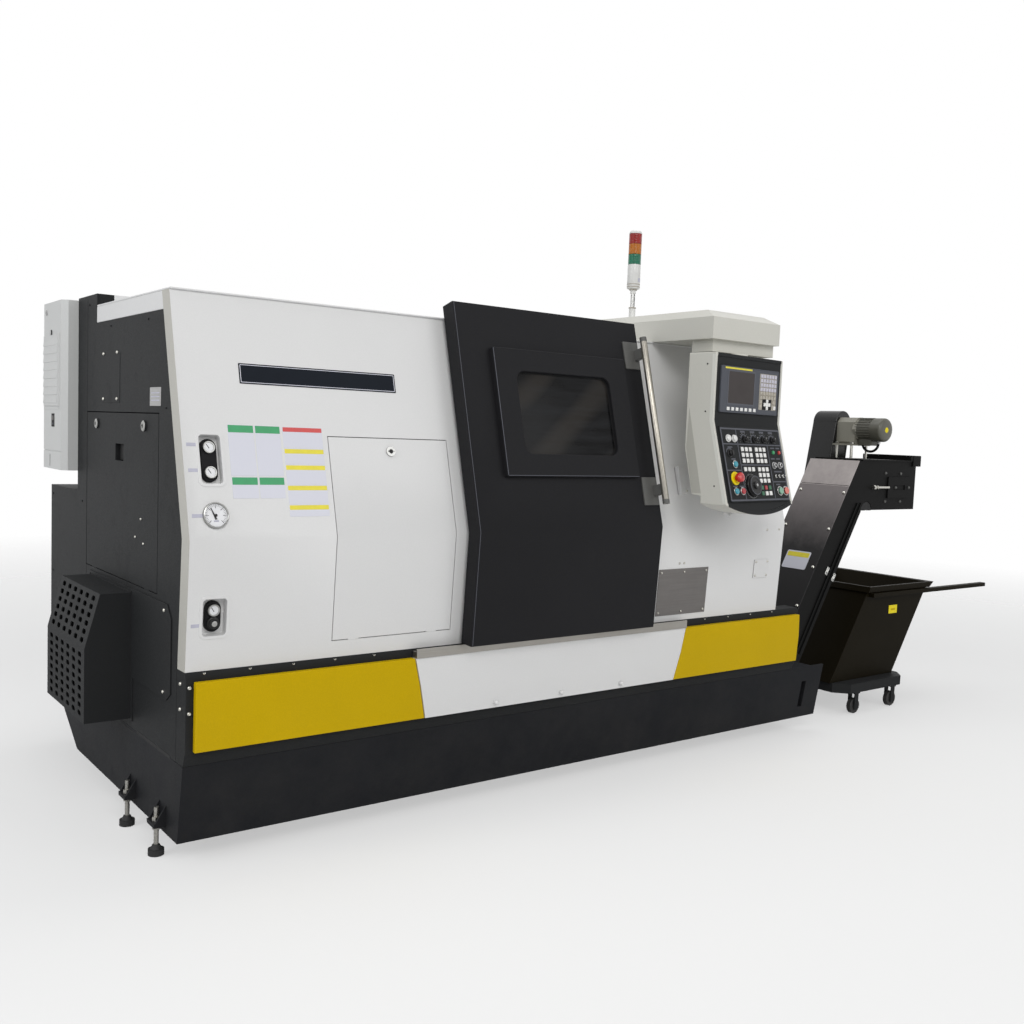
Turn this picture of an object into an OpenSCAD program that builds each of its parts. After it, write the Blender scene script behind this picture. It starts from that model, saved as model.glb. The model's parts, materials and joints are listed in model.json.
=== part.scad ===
// Slant-bed turning lathe with full sheet-metal enclosure, hanging operator
// pendant, chip conveyor at the right end and a wheeled chip cart.
// Machine axes: X along the spindle towards the conveyor, Y to the back, Z up.

/* [Base] */
// Length of the plinth's closed top past the covers
deck_past = 324; // [310:2:340]
// Length of the plinth's front plate past its closed top
plate_past = 85; // [60:1:110]
// Depth of the plinth, front edge to back
base_depth = 1640; // [1600:5:1700]
// Floor to the underside of the plinth
base_clear = 75; // [60:1:95]
// Floor to the top of the plinth
base_top = 337; // [325:1:350]
// Tuck of the front plate at its foot
base_tuck = 41; // [20:1:60]
// Diameter of a levelling pad
pad_d = 52; // [44:1:70]
// Diameter of a levelling bolt
bolt_d = 16; // [12:1:22]

/* [Enclosure] */
// Length of the enclosure past the main door
right_len = 882; // [860:2:900]
// Sheet thickness of the covers
sheet = 6; // [4:0.5:8]
// Clearance of a bolted piece on its sloping seat
seat_gap = 0.1; // [0.05:0.05:0.3]
// Depth of the folded edge of a cover
cover_flange = 44; // [34:1:54]
// Height of the lower edge of the covers
cover_low = 641; // [630:1:655]
// Height of the fold in the covers
cover_fold = 1055; // [1040:1:1070]
// Height of the top edge of the covers
cover_top = 1835; // [1800:1:1860]
// Depth position of the lower edge of the covers
low_y = -10; // [-20:1:0]
// Depth position of the fold
fold_y = -35; // [-45:1:-25]
// Depth position of the top edge
top_y = 177; // [160:1:195]
// Depth position of the back of the roof
roof_back = 969; // [955:1:985]
// Height of the rear cabinet above the top edge of the covers
cabinet_rise = 49; // [35:1:75]
// Depth of the rear cabinet behind the side door
cabinet_gap = 134; // [112:1:162]
// Height of the lower rear housing
housing_top = 1127; // [1080:1:1160]
// Length of the front apron past the covers
apron_past = 159; // [140:1:175]
// Thickness of the coloured apron bands
band_t = 24; // [16:1:30]
// Height of the lower edge of the apron bands
band_low = 388; // [375:1:400]
// Height of the upper edge of the apron bands
band_high = 612; // [600:1:616]

/* [Main door] */
// Left edge of the closed main door
door_x = 1022; // [1015:1:1030]
// Width of the main door
door_w = 922; // [900:1:940]
// Thickness of the main door
door_depth = 66; // [50:1:75]
// Running gap between the main door and the covers
door_gap = 18; // [15:1:24]
// Height of the lower edge of the main door
door_bottom = 643; // [642:1:660]
// Height of the upper edge of the main door
door_top = 1900; // [1880:1:1920]
// Width of the window opening
win_w = 469; // [400:1:520]
// Height of the window opening along the slope
win_h = 320; // [280:1:360]
// Corner radius of the window opening
win_r = 38; // [20:1:60]
// Thickness of the window pane
pane_t = 14; // [10:1:20]
// Width of the door beside the window frame, mean of both sides
frame_side = 128; // [110:1:160]
// Height of the raised window frame
frame_h = 494; // [440:1:520]
// Diameter of the handle bar
bar_d = 28; // [22:1:34]
// Length of the handle bar
bar_len = 700; // [600:5:740]
// Stand-off of the handle bar from the door
bar_off = 60; // [50:1:70]

/* [Service doors] */
// Space between the access door and the main door
acc_space = 42; // [36:1:60]
// Width of the access door
acc_w = 476; // [440:1:490]
// Height of the lower edge of the access door
acc_low = 700; // [690:1:715]
// Height of the upper edge of the access door
acc_high = 1385; // [1360:1:1400]
// Gap round a service door
panel_gap = 3; // [2:0.5:5]
// Diameter of a quarter-turn lock
lock_d = 36; // [28:1:44]
// Front edge of the side door
side_y = 262; // [250:1:280]
// Width of the side door
side_w = 826; // [780:1:840]
// Height of the lower edge of the side door
side_low = 850; // [842:1:870]
// Height of the side door
side_h = 590; // [560:1:610]

/* [Pendant] */
// Width of the operator pendant
pend_w = 504; // [470:2:520]
// Depth of the operator pendant
pend_t = 132; // [120:1:150]
// Height of the top of the pendant
pend_top = 1780; // [1770:1:1790]
// Height of the fold between display and key panel
pend_fold = 1507; // [1495:1:1520]
// Height of the lower corners of the pendant
pend_low = 1165; // [1150:1:1180]
// Forward reach of the lower panel
pend_reach = 88; // [70:1:100]
// Drop of the rounded lower edge
pend_sag = 43; // [30:1:55]
// Swivel of the pendant as it stands
pend_turn = 7.5; // [0:0.5:15]
// Diameter of the handwheel
wheel_d = 88; // [70:1:96]
// Diameter of a rotary knob
knob_d = 26; // [20:1:32]

/* [Work chamber] */
// Height of the spindle axis
axis_z = 1130; // [1120:1:1140]
// Depth position of the spindle axis
axis_y = 430; // [420:1:440]
// Distance of the spindle axis from the slant face
axis_n = 260; // [255:1:270]
// Diameter of the chuck
chuck_d = 254; // [210:1:270]
// Length of the chuck body
chuck_l = 100; // [90:1:110]
// Diameter of the spindle
spindle_d = 120; // [100:1:130]
// Bore through the spindle for bar stock
bar_bore = 66; // [50:1:72]
// Running clearance of the spindle in its housing
run_gap = 0.4; // [0.3:0.1:1]
// Across-flats size of the turret disc
turret_af = 340; // [300:2:360]
// Thickness of the turret disc
turret_t = 100; // [80:1:110]
// Diameter of the tailstock quill
quill_d = 90; // [70:1:100]

/* [Chip conveyor] */
// Depth position of the front side plate
conv_y = 220; // [215:1:225]
// Width of the conveyor housing
conv_w = 305; // [295:1:315]
// Height of the conveyor head top
head_top = 1345; // [1330:1:1360]
// Height of the conveyor head underside
head_low = 1080; // [1060:1:1100]
// Length of the conveyor head past the rising run
head_l = 491; // [470:2:510]
// Thickness of the rising run, measured level
rise_w = 202; // [190:1:215]
// Diameter of the drive motor
motor_d = 125; // [110:1:140]

/* [Chip cart] */
// Length of the dolly
dolly_l = 590; // [560:2:620]
// Width of the dolly
dolly_w = 780; // [740:2:820]
// Height of the dolly deck
dolly_top = 165; // [160:1:180]
// Diameter of a caster wheel
caster_d = 82; // [74:1:90]
// Length of the bin floor
bin_l = 560; // [520:2:580]
// Width of the bin
bin_w = 630; // [600:2:660]
// Height of the bin
bin_h = 500; // [460:2:520]
// Lean of the bin over its height
bin_lean = 305; // [270:1:320]
// Wall thickness of the bin
bin_t = 6; // [4:0.5:8]
// Length of the bin handle bar
grip_l = 1138; // [1060:2:1160]

/* [Signal tower] */
// Diameter of the tower lamps
lamp_d = 60; // [50:1:70]
// Height of one lamp
lamp_h = 47; // [35:1:55]
// Height of the tower post
post_h = 150; // [100:1:200]

/* [Hidden] */
$fn = 48;

// paint colours
white = [0.86, 0.87, 0.87];
warm_white = [0.84, 0.83, 0.79];
black = [0.10, 0.10, 0.11];
yellow = [0.74, 0.62, 0.06];
steel = [0.62, 0.62, 0.62];
stainless = [0.45, 0.43, 0.41];

// cover profile, as (depth, height) points from the lower edge to the top
cover_line = [[low_y, cover_low], [fold_y, cover_fold], [top_y, cover_top]];
tan_up = (top_y - fold_y) / (cover_top - cover_fold);
tan_lo = (fold_y - low_y) / (cover_fold - cover_low);
ang_up = atan(tan_up);
ang_lo = atan(tan_lo);
function seg_n(a, b) = [b[1] - a[1], a[0] - b[0]] / norm(b - a);
function off3(p, t) =
    let (n1 = seg_n(p[0], p[1]), n2 = seg_n(p[1], p[2]), k = t / (1 + n1 * n2))
    [p[0] + n1 * t, p[1] + (n1 + n2) * k, p[2] + n2 * t];
function band3(p, t0, t1) =
    let (a = off3(p, t0), b = off3(p, t1))
    [a[0], a[1], a[2], b[2], b[1], b[0]];
function fold_at(off) = off3(cover_line, off)[1];
function up_y(off, z) = fold_at(off)[0] + (z - fold_at(off)[1]) * tan_up;
function lo_y(off, z) = fold_at(off)[0] + (z - fold_at(off)[1]) * tan_lo;
function sub_line(off, z0, z1) = [[lo_y(off, z0), z0], fold_at(off), [up_y(off, z1), z1]];

// lengths along the machine
door_x1 = door_x + door_w;
frame_w = door_w - 2 * frame_side;
cover_len = door_x1 + right_len;
base_deck_len = cover_len + deck_past;
base_len = base_deck_len + plate_past;
apron_len = cover_len + apron_past;
acc_x = door_x - acc_space - acc_w;
foot_y = [178, 484];
heel_y = base_depth - 434;
feet_x = [door_x - 122, door_x1 + 56, base_deck_len - 90];
feet_y = [330, heel_y - 40];

// opening of the work chamber in the front covers
open_x0 = door_x + 23;
open_x1 = door_x + door_w - 23;
door_off = -(door_gap + door_depth);
door_travel = 850;
apron_back = 64;
apron_y = min(low_y, fold_y) + 15;
band_y = apron_y - band_t;

// slant bed frame: s runs up the slope, n stands off the slant face
bed_foot_y = axis_y + 140;
bed_foot_z = axis_z - 228 + (260 - axis_n) * 1.414;
bed_back = roof_back - 29;
cabinet_back = side_y + side_w + cabinet_gap;
cabinet_top = cover_top + cabinet_rise;
head_x1 = door_x + 6;
head_x0 = head_x1 - 468;
bed_x0 = head_x0 - 260;
bed_x1 = cover_len - 266;
spin_s = (axis_y - bed_foot_y + axis_z - bed_foot_z) * sqrt(0.5);
nose_x = head_x1 + 32;
jaw_l = 45;
jaw_h = 62;
jaw_r = 46;

// turret carriage, at rest
disc_x = nose_x + 390;
disc_s = spin_s + 338;
quill_x = nose_x + 890;

// rising run of the conveyor, at 60 degrees
rise_x = base_deck_len + 637;
head_x = rise_x + head_l;
rise_tan = tan(60);
function under_x(z) = rise_x - (head_low - z) / rise_tan;
function cover_x(z) = under_x(z) - rise_w;
conv_back = conv_y + conv_w;
conv_wall = 8;
trunk_x0 = nose_x + 40;
trunk_low = base_clear + 20;

// chip cart
cart_cx = rise_x + 68;
cart_cy = 492;
bin_x0 = cart_cx - dolly_l / 2 - 15;
bin_y0 = cart_cy - bin_w / 2;
grip_x = bin_x0 + bin_lean - 8;
handle_x = grip_x + grip_l;
rim_h = 30;
caster_z = caster_d / 2;
axle_d = 14;
caster_x = dolly_l / 2 - 129;
caster_y = dolly_w / 2 - 25;

// pendant
pivot_x = door_x1 + 366;
pivot_y = -142;
pend_y0 = -70;
rim_w = 14;
fascia_t = 6;
panel_ang = atan(pend_reach / (pend_fold - pend_low));
panel_l = norm([pend_reach, pend_fold - pend_low]);
panel_w = pend_w - 2 * rim_w - 30;
rim_face = 2;
plate_t = 8;
estop_p = [0.123, 0.716];
canopy_x0 = door_x1 + 169;
canopy_x1 = canopy_x0 + 419;
canopy_front = -182;
canopy_low = cover_top + sheet;
canopy_h = 123;
tower_x = pivot_x - 25;
tower_y = 490;

// vent guard at the left end
guard_out = 157;
guard_lip = 4;

// the origin is under the middle of the whole object, on the floor
estop_u = (estop_p[0] - 0.5) * panel_w;
estop_v = -20 - estop_p[1] * (panel_l - 42);
estop_n = plate_t + 38 - rim_face;
front_reach = pivot_y + estop_u * sin(pend_turn) - 15 * sqrt(1 - pow(cos(panel_ang) * cos(pend_turn), 2))
    + (pend_y0 - estop_n * cos(panel_ang) + estop_v * sin(panel_ang)) * cos(pend_turn);
origin_x = (handle_x - guard_out - guard_lip) / 2;
origin_y = (base_depth + front_reach) / 2;

// Places a part of the machine frame in the object's own frame.
module m() {
    translate([-origin_x, -origin_y, 0]) children();
}

// Box from corner to corner.
module box(a, b) {
    translate(a) cube(b - a);
}

// Prism along X from a (depth, height) outline.
module yz(points, x0, x1) {
    translate([x0, 0, 0]) rotate([90, 0, 90]) linear_extrude(x1 - x0) polygon(points);
}

// Prism along Y from an (X, height) outline.
module xz(points, y0, y1) {
    translate([0, y1, 0]) rotate([90, 0, 0]) linear_extrude(y1 - y0) polygon(points);
}

// Flat shape standing in XZ, from depth y0 to y1.
module slab(y0, y1) {
    translate([0, y1, 0]) rotate([90, 0, 0]) linear_extrude(y1 - y0) children();
}

// Flat shape drawn in YZ, from x0 to x1.
module wall(x0, x1) {
    translate([x0, 0, 0]) rotate([90, 0, 90]) linear_extrude(x1 - x0) children();
}

// Rectangle with round corners about its centre.
module rrect(w, h, r) {
    square([w - 2 * r, h], center = true);
    square([w, h - 2 * r], center = true);
    for (sx = [-1, 1], sy = [-1, 1])
        translate([sx * (w / 2 - r), sy * (h / 2 - r)]) circle(r);
}

// Round post along -Y from depth y1 to y0.
module post_y(r, y0, y1) {
    translate([0, y1, 0]) rotate([90, 0, 0]) cylinder(r = r, h = y1 - y0);
}

// Local frame on the upper slope of the covers: Y goes in, Z goes up the slope.
module on_up(off) {
    translate([0, fold_at(off)[0], fold_at(off)[1]]) rotate([-ang_up, 0, 0]) children();
}

// Local frame on the lower slope of the covers, Z negative below the fold.
module on_lo(off) {
    translate([0, fold_at(off)[0], fold_at(off)[1]]) rotate([-ang_lo, 0, 0]) children();
}

// Local frame of the slant bed: Y is the slope s, Z is the stand-off n.
module on_bed() {
    translate([0, bed_foot_y, bed_foot_z]) rotate([45, 0, 0]) children();
}

// Local frame of the pendant about its swivel.
module on_pendant() {
    translate([pivot_x, pivot_y, 0]) rotate([0, 0, pend_turn]) children();
}

// Local frame of the sloping key panel: Z negative below the fold.
module on_panel() {
    on_pendant() translate([0, pend_y0, pend_fold]) rotate([-panel_ang, 0, 0]) children();
}

// Place on the key panel by share of its width and height.
function panel_at(s, t) = [(s - 0.5) * panel_w, rim_face - plate_t, -20 - t * (panel_l - 42)];

module base_plinth() {
    color(black) m() {
        difference() {
            // tucked front, level underside and a heel that rises to the back
            yz([[0, base_top], [base_tuck, base_clear], [heel_y, base_clear],
                [base_depth, base_top]], 0, base_deck_len);
            // channel that the conveyor's level run lies in
            box([trunk_x0 - 10, conv_y - 4, trunk_low], [base_deck_len + 1, conv_back + 4, base_top + 1]);
            // hand slot in the front plate
            box([base_deck_len - 60, -1, base_clear + 55], [base_deck_len - 28, base_tuck + 20,
                base_top - 75]);
        }
        // front plate carried past the deck
        yz([[0, base_top], [base_tuck, base_clear], [base_tuck + 12, base_clear], [12, base_top]],
           base_deck_len, base_len);
        // gusseted foot brackets on the left side
        for (y = foot_y) {
            difference() {
                box([2 * bolt_x, y - 36, 100], [0, y + 36, 114]);
                translate([bolt_x, y, 90]) cylinder(d = bolt_d + 2, h = 40);
            }
            for (s = [-36, 28])
                xz([[0, 114], [2 * bolt_x + 4, 114], [0, 172]], y + s, y + s + 8);
        }
    }
}

// levelling bolts of the left end, out from the plinth
bolt_x = -20;

// Levelling foot: round pad, bolt and nuts.
module foot(top) {
    cylinder(d = pad_d, h = 20);
    translate([0, 0, 20]) cylinder(d1 = pad_d - 14, d2 = bolt_d + 8, h = 14);
    translate([0, 0, 34]) cylinder(d = bolt_d, h = top - 34);
}

module levelling_feet() {
    color(steel) m() {
        for (y = foot_y) translate([bolt_x, y, 0]) {
            foot(160);
            translate([0, 0, 86]) cylinder(d = bolt_d + 12, h = 14, $fn = 6);
            translate([0, 0, 114]) cylinder(d = bolt_d + 12, h = 14, $fn = 6);
        }
        for (x = feet_x, y = feet_y) translate([x, y, 0]) {
            foot(base_clear);
            translate([0, 0, base_clear - 14]) cylinder(d = bolt_d + 12, h = 14, $fn = 6);
        }
    }
}

module front_apron() {
    color(black) m()
        yz([[0, base_top], [apron_y, band_low], [apron_y, band_high + 6], [low_y - 2, cover_low],
            [apron_back, cover_low], [apron_back, base_top]], 0, apron_len);
}

split_l = [door_x - 204, door_x - 153];
split_r = [door_x1 + 249, door_x1 + 192];
split_m = door_x + door_w / 2 + 17;
band_fold = 510;
band_x0 = 24;
band_x1 = apron_len - 17;

// Apron band between two ends, with a shallow fold at mid height.
module band(ends) {
    intersection() {
        xz(ends, band_y - 10, apron_y);
        yz([[apron_y, band_low], [band_y + 6, band_low], [band_y - 2, band_fold], [band_y, band_high],
            [apron_y, band_high]], band_x0, band_x1);
    }
}

module apron_bands() {
    color(yellow) m() {
        band([[band_x0, band_low], [split_l[1], band_low], [split_l[0], band_high], [band_x0, band_high]]);
        band([[split_r[1], band_low], [band_x1, band_low], [band_x1, band_high], [split_r[0], band_high]]);
    }
}

module apron_centre_band() {
    color(white) m() {
        band([[split_l[1] + 3, band_low], [split_r[1] - 3, band_low], [split_r[0] - 3, band_high],
              [split_l[0] + 3, band_high]]);
        for (x = [-320, 0, 320])
            translate([split_m + x, 0, band_low + 22]) post_y(9, band_y, apron_y - 4);
    }
}

// Sill strip with the lip that the door runs on.
rail_gap = 0.3;
function under_door(y) = door_bottom + (y - lo_y(door_off, door_bottom)) * tan(-ang_lo) - rail_gap;

module door_rails() {
    color(steel) m() {
        box([split_l[0] + 3, band_y - 6, band_high], [split_r[0] - 3, apron_y, door_bottom - 8]);
        yz([[band_y - 6, door_bottom - 9], [band_y, door_bottom - 9], [band_y, under_door(band_y)],
            [band_y - 6, under_door(band_y - 6)]], split_l[0] + 3, split_r[0] - 3);
    }
}

// gauge pockets and gauge on the left cover
pocket_x = 88;
pocket_up = [78, 165, 258];
pocket_lo = [86, 126, -245];
gauge_z = 78;
gauge_r = 42;

module left_cover() {
    color(white) m() difference() {
        union() {
            yz(band3(cover_line, 0, sheet), 0, open_x0);
            yz(band3(cover_line, 0, cover_flange), 0, sheet);
            yz(band3(cover_line, 0, cover_flange), open_x0 - sheet, open_x0);
        }
        yz(band3(sub_line(0, acc_low - panel_gap, acc_high + panel_gap), -5, sheet + 5),
           acc_x - panel_gap, acc_x + acc_w + panel_gap);
        on_up(0) translate([pocket_x, 0, pocket_up[2]]) slab(-5, sheet + 5)
            rrect(pocket_up[0], pocket_up[1], 16);
        on_lo(0) translate([pocket_x, 0, pocket_lo[2]]) slab(-5, sheet + 5)
            rrect(pocket_lo[0], pocket_lo[1], 16);
        on_up(0) translate([pocket_x, 0, gauge_z]) post_y(gauge_r - 3, -5, sheet + 5);
    }
}

// Recessed cup with an oval plate and two adjusters.
module pocket(w, h) {
    difference() {
        union() {
            slab(0, 34) rrect(w - 0.6, h - 0.6, 15.7);
            slab(-2, 0) rrect(w + 12, h + 12, 20);
        }
        slab(-3, 30) rrect(w - 8, h - 8, 12);
    }
    slab(20, 30) rrect(34, h - 30, 16);
    for (s = [-1, 1]) translate([0, 0, s * (h / 2 - 38)]) {
        post_y(11, 4, 20);
        post_y(7, 0, 4);
    }
}

module gauge_pockets() {
    color(black) m() {
        on_up(0) translate([pocket_x, 0, pocket_up[2]]) pocket(pocket_up[0], pocket_up[1]);
        on_lo(0) translate([pocket_x, 0, pocket_lo[2]]) pocket(pocket_lo[0], pocket_lo[1]);
    }
}

module pressure_gauge() {
    color(steel) m() on_up(0) translate([pocket_x, 0, gauge_z]) difference() {
        union() {
            post_y(gauge_r, -11, 0);
            post_y(gauge_r - 3.3, 0, 34);
            post_y(8, 34, 52);
        }
        post_y(gauge_r - 5, -12, -7);
    }
}

// Outline of an end panel inside the folded edge of the covers.
function end_outline(top) = [[apron_back, base_top], [apron_back, cover_low + 12],
    [lo_y(cover_flange, cover_low + 12), cover_low + 12], fold_at(cover_flange),
    [up_y(cover_flange, top), top]];

strip_h = 60;
// seam between two sheets that meet edge to edge
seam = 0.3;

module left_end_panel() {
    color(black) m() difference() {
        yz(concat(end_outline(cover_top - strip_h),
                  [[roof_back, cover_top - strip_h], [roof_back, cabinet_top], [cabinet_back, cabinet_top],
                   [cabinet_back, housing_top], [base_depth - 7, housing_top], [base_depth - 7, base_top]]),
           0, sheet);
        box([-1, side_y - panel_gap, side_low - panel_gap],
            [sheet + 1, side_y + side_w + panel_gap, side_low + side_h + panel_gap]);
    }
}

module right_end_panel() {
    color(black) m()
        yz(concat(end_outline(cover_top - 24), [[roof_back, cover_top - 24], [roof_back, cabinet_step],
                  [cabinet_low_y, cabinet_step], [cabinet_low_y, base_top]]), cover_len - sheet, cover_len);
}

// Sheet box with a sloping upper face, pierced with rows of slots.
guard_y0 = 512;
guard_y1 = 1010;
guard_z0 = 371;
guard_fold = 630;
guard_top = 818;
guard_in = 51;
slot_l = 40;
slot_h = 17;
slot_p = [76, 29.4];

// Slot with clipped ends, drawn in YZ about its centre.
module vent_slot() {
    e = slot_h / 3;
    polygon([[slot_l / 2, -slot_h / 2 + e], [slot_l / 2, slot_h / 2 - e], [slot_l / 2 - e, slot_h / 2],
             [e - slot_l / 2, slot_h / 2], [-slot_l / 2, slot_h / 2 - e], [-slot_l / 2, e - slot_h / 2],
             [e - slot_l / 2, -slot_h / 2], [slot_l / 2 - e, -slot_h / 2]]);
}

module vent_guard() {
    guard_line = [[0, guard_top], [guard_in - guard_out, guard_top], [-guard_out, guard_fold],
                  [-guard_out, guard_z0], [0, guard_z0]];
    slope = atan(guard_in / (guard_top - guard_fold));
    color(black) m() translate([-guard_lip, 0, 0]) {
        // flange on the end panel and the clipped plate in front of it
        box([0, guard_y0 - 14, guard_z0 - 8], [guard_lip, guard_y1 + 20, guard_top + 14]);
        wall(0, guard_lip) polygon([[guard_y0 - 14, 518], [150, 518], [112, 545], [112, 790], [150,
            guard_top + 14],
                                    [guard_y0 - 14, guard_top + 14]]);
        difference() {
            xz(guard_line, guard_y0, guard_y1);
            xz([[1, guard_top - guard_lip], [guard_in - guard_out + guard_lip, guard_top - guard_lip],
                [guard_lip - guard_out, guard_fold], [guard_lip - guard_out, guard_z0 + guard_lip],
                [1, guard_z0 + guard_lip]], guard_y0 + guard_lip, guard_y1 - guard_lip);
            for (i = [0:5], j = [0:5])
                translate([-guard_out, guard_y0 + 59 + i * slot_p[0], guard_fold]) rotate([0, slope, 0])
                    translate([0, 0, 25 + j * slot_p[1]]) wall(-20, 20) vent_slot();
            for (i = [0:5], j = [0:7])
                translate([-guard_out, guard_y0 + 59 + i * slot_p[0], guard_z0 + 27 + j * slot_p[1]])
                    wall(-5, guard_lip + 5) vent_slot();
        }
    }
}

cabinet_step = 1500;
cabinet_low_y = side_y + side_w + 12;

module rear_cabinet() {
    color(black) m()
        yz([[cabinet_low_y, base_top], [cabinet_low_y, cabinet_step], [roof_back, cabinet_step],
            [roof_back, cabinet_top], [cabinet_back, cabinet_top], [cabinet_back, housing_top],
            [base_depth - 7, housing_top], [base_depth - 7, base_top]], sheet, cover_len);
}

cool_x0 = -60;
cool_w = 400;
cool_d = 290;
cool_low = 1206;
cool_top = cabinet_top - 8;
louvre_y = [cabinet_back + 47, cabinet_back + cool_d - 10];
louvre_z = [1460, 1744];
slats = 8;

module cabinet_cooler() {
    c = 22;
    pitch = (louvre_z[1] - louvre_z[0] - 20) / slats;
    color(white) m() difference() {
        union() {
            translate([0, 0, cool_low]) linear_extrude(cool_top - cool_low)
                polygon([[cool_x0, cabinet_back + c], [cool_x0 + c, cabinet_back],
                         [cool_x0 + cool_w, cabinet_back], [cool_x0 + cool_w, cabinet_back + cool_d],
                         [cool_x0, cabinet_back + cool_d]]);
            // raised louvre panel with its slats
            box([cool_x0 - 4, louvre_y[0], louvre_z[0]], [cool_x0, louvre_y[1], louvre_z[1]]);
            for (i = [0:slats - 1])
                xz([[cool_x0 - 4, louvre_z[0] + 10 + i * pitch], [cool_x0 - 10,
                    louvre_z[0] + 13 + i * pitch],
                    [cool_x0 - 4, louvre_z[0] + 6 + (i + 1) * pitch]], louvre_y[0] + 14, louvre_y[1]);
        }
        // groove between cooler body and its drip tray
        box([cool_x0 - 1, cabinet_back - 1, cool_low + 71], [cool_x0 + 3, cabinet_back + cool_d + 1,
            cool_low + 75]);
        // display recess and tray slot
        box([cool_x0 - 1, cabinet_back + 118, 1376], [cool_x0 + 4, cabinet_back + 164, 1430]);
        box([cool_x0 - 1, cabinet_back + 183, cool_low + 10], [cool_x0 + 4, cabinet_back + 195,
            cool_low + 58]);
    }
}

module roof_cover() {
    color(white) m() {
        box([0, top_y - 8, cover_top], [cover_len, roof_back, cover_top + sheet]);
        // folded strip down the left end
        box([0, top_y + cover_flange + 8, cover_top - strip_h], [sheet, roof_back, cover_top - seam]);
        // header over the door opening
        yz([[up_y(0, cover_top - 70), cover_top - 70], [up_y(0, cover_top - seam), cover_top - seam],
            [up_y(sheet, cover_top - seam), cover_top - seam], [up_y(sheet, cover_top - 70),
                cover_top - 70]],
           open_x0 + seam, open_x1 - seam);
        // upstand against the rear cabinet
        box([62, roof_back - sheet, cover_top + sheet + seam], [cover_len, roof_back, cabinet_top]);
        // folded strip down the right end
        box([cover_len - sheet, top_y + cover_flange + 8, cover_top - 24], [cover_len, roof_back,
            cover_top - seam]);
    }
}

module right_cover() {
    color(white) m() {
        yz(band3(cover_line, 0, sheet), open_x1, cover_len);
        yz(band3(cover_line, 0, cover_flange), open_x1, open_x1 + sheet);
        yz(band3(cover_line, 0, cover_flange), cover_len - sheet, cover_len);
    }
}

module cover_plate() {
    color(stainless) m() on_lo(0) {
        translate([door_x1 + 86, -3, -388]) cube([302, 3, 202]);
        translate([cover_len - 188, -3, -252]) cube([98, 3, 84]);
    }
}

// Box arm over the roof that carries the pendant.
module canopy() {
    c = 33;
    color(warm_white) m() {
        difference() {
            yz([[canopy_front, canopy_low], [canopy_front, canopy_low + canopy_h - c],
                [canopy_front + 2 * c, canopy_low + canopy_h], [roof_back - 60, canopy_low + canopy_h],
                [roof_back - 60, canopy_low]], canopy_x0, canopy_x1);
            for (x = [canopy_x0, canopy_x1])
                translate([x, canopy_front - 1, canopy_low + canopy_h])
                    rotate([0, 45, 0]) translate([-c * 0.7, 0, -c * 0.7]) cube([c * 1.4, roof_back,
                        c * 1.4]);
        }
        // neck box over the pendant
        box([canopy_x0 + 35, pivot_y - 10, pend_top + 12], [canopy_x1 - 2, pivot_y + 107, canopy_low + 1]);
    }
}

module tower_post() {
    z0 = canopy_low + canopy_h;
    color(white) m() translate([tower_x, tower_y, z0]) {
        cylinder(d = 66, h = 8);
        cylinder(d = 20, h = post_h);
        translate([0, 0, post_h]) cylinder(d = lamp_d, h = 112);
        translate([0, 0, post_h + 112]) cylinder(d = 14, h = 3 * lamp_h);
        translate([0, 0, post_h + 112 + 3 * lamp_h]) cylinder(d1 = lamp_d, d2 = lamp_d - 12, h = 14);
    }
}

module tower_lamps() {
    z0 = canopy_low + canopy_h + post_h + 112;
    color([0.7, 0.1, 0.1]) m() translate([tower_x, tower_y, z0])
        for (i = [0:2]) translate([0, 0, i * lamp_h]) difference() {
            cylinder(d = lamp_d, h = lamp_h);
            translate([0, 0, -1]) cylinder(d = 14, h = lamp_h + 2);
        }
}

rail_w = 45;
rail_h = 40;
rail_s = [70, 430];
tail_rail_s = [-2, 150];

module slant_bed() {
    color(steel) m() {
        yz([[bed_foot_y, base_top], [bed_foot_y, bed_foot_z],
            [bed_back, bed_foot_z + bed_back - bed_foot_y], [bed_back, base_top]], bed_x0, bed_x1);
        // guide rails of the turret carriage
        on_bed() for (s = [190, 450])
            translate([head_x1 + 42, s - rail_w / 2, 0]) cube([bed_x1 - head_x1 - 60, rail_w, rail_h]);
        // guide rail of the tailstock
        on_bed() translate([head_x1 + 42, 40, 0]) cube([bed_x1 - head_x1 - 60, rail_w, rail_h]);
    }
}

module headstock() {
    color(steel) m() difference() {
        union() {
            on_bed() translate([head_x0, 0, 0]) cube([head_x1 - head_x0, 245, axis_n + 150]);
            on_bed() translate([head_x0 + 40, spin_s - 150, axis_n - 150])
                cube([head_x1 - head_x0 - 40, 300, 300]);
        }
        on_bed() translate([head_x0 - 1, spin_s, axis_n]) rotate([0, 90, 0])
            cylinder(d = spindle_d + 2 * run_gap, h = head_x1 - head_x0 + 2);
    }
}

liner_t = 5;

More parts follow.
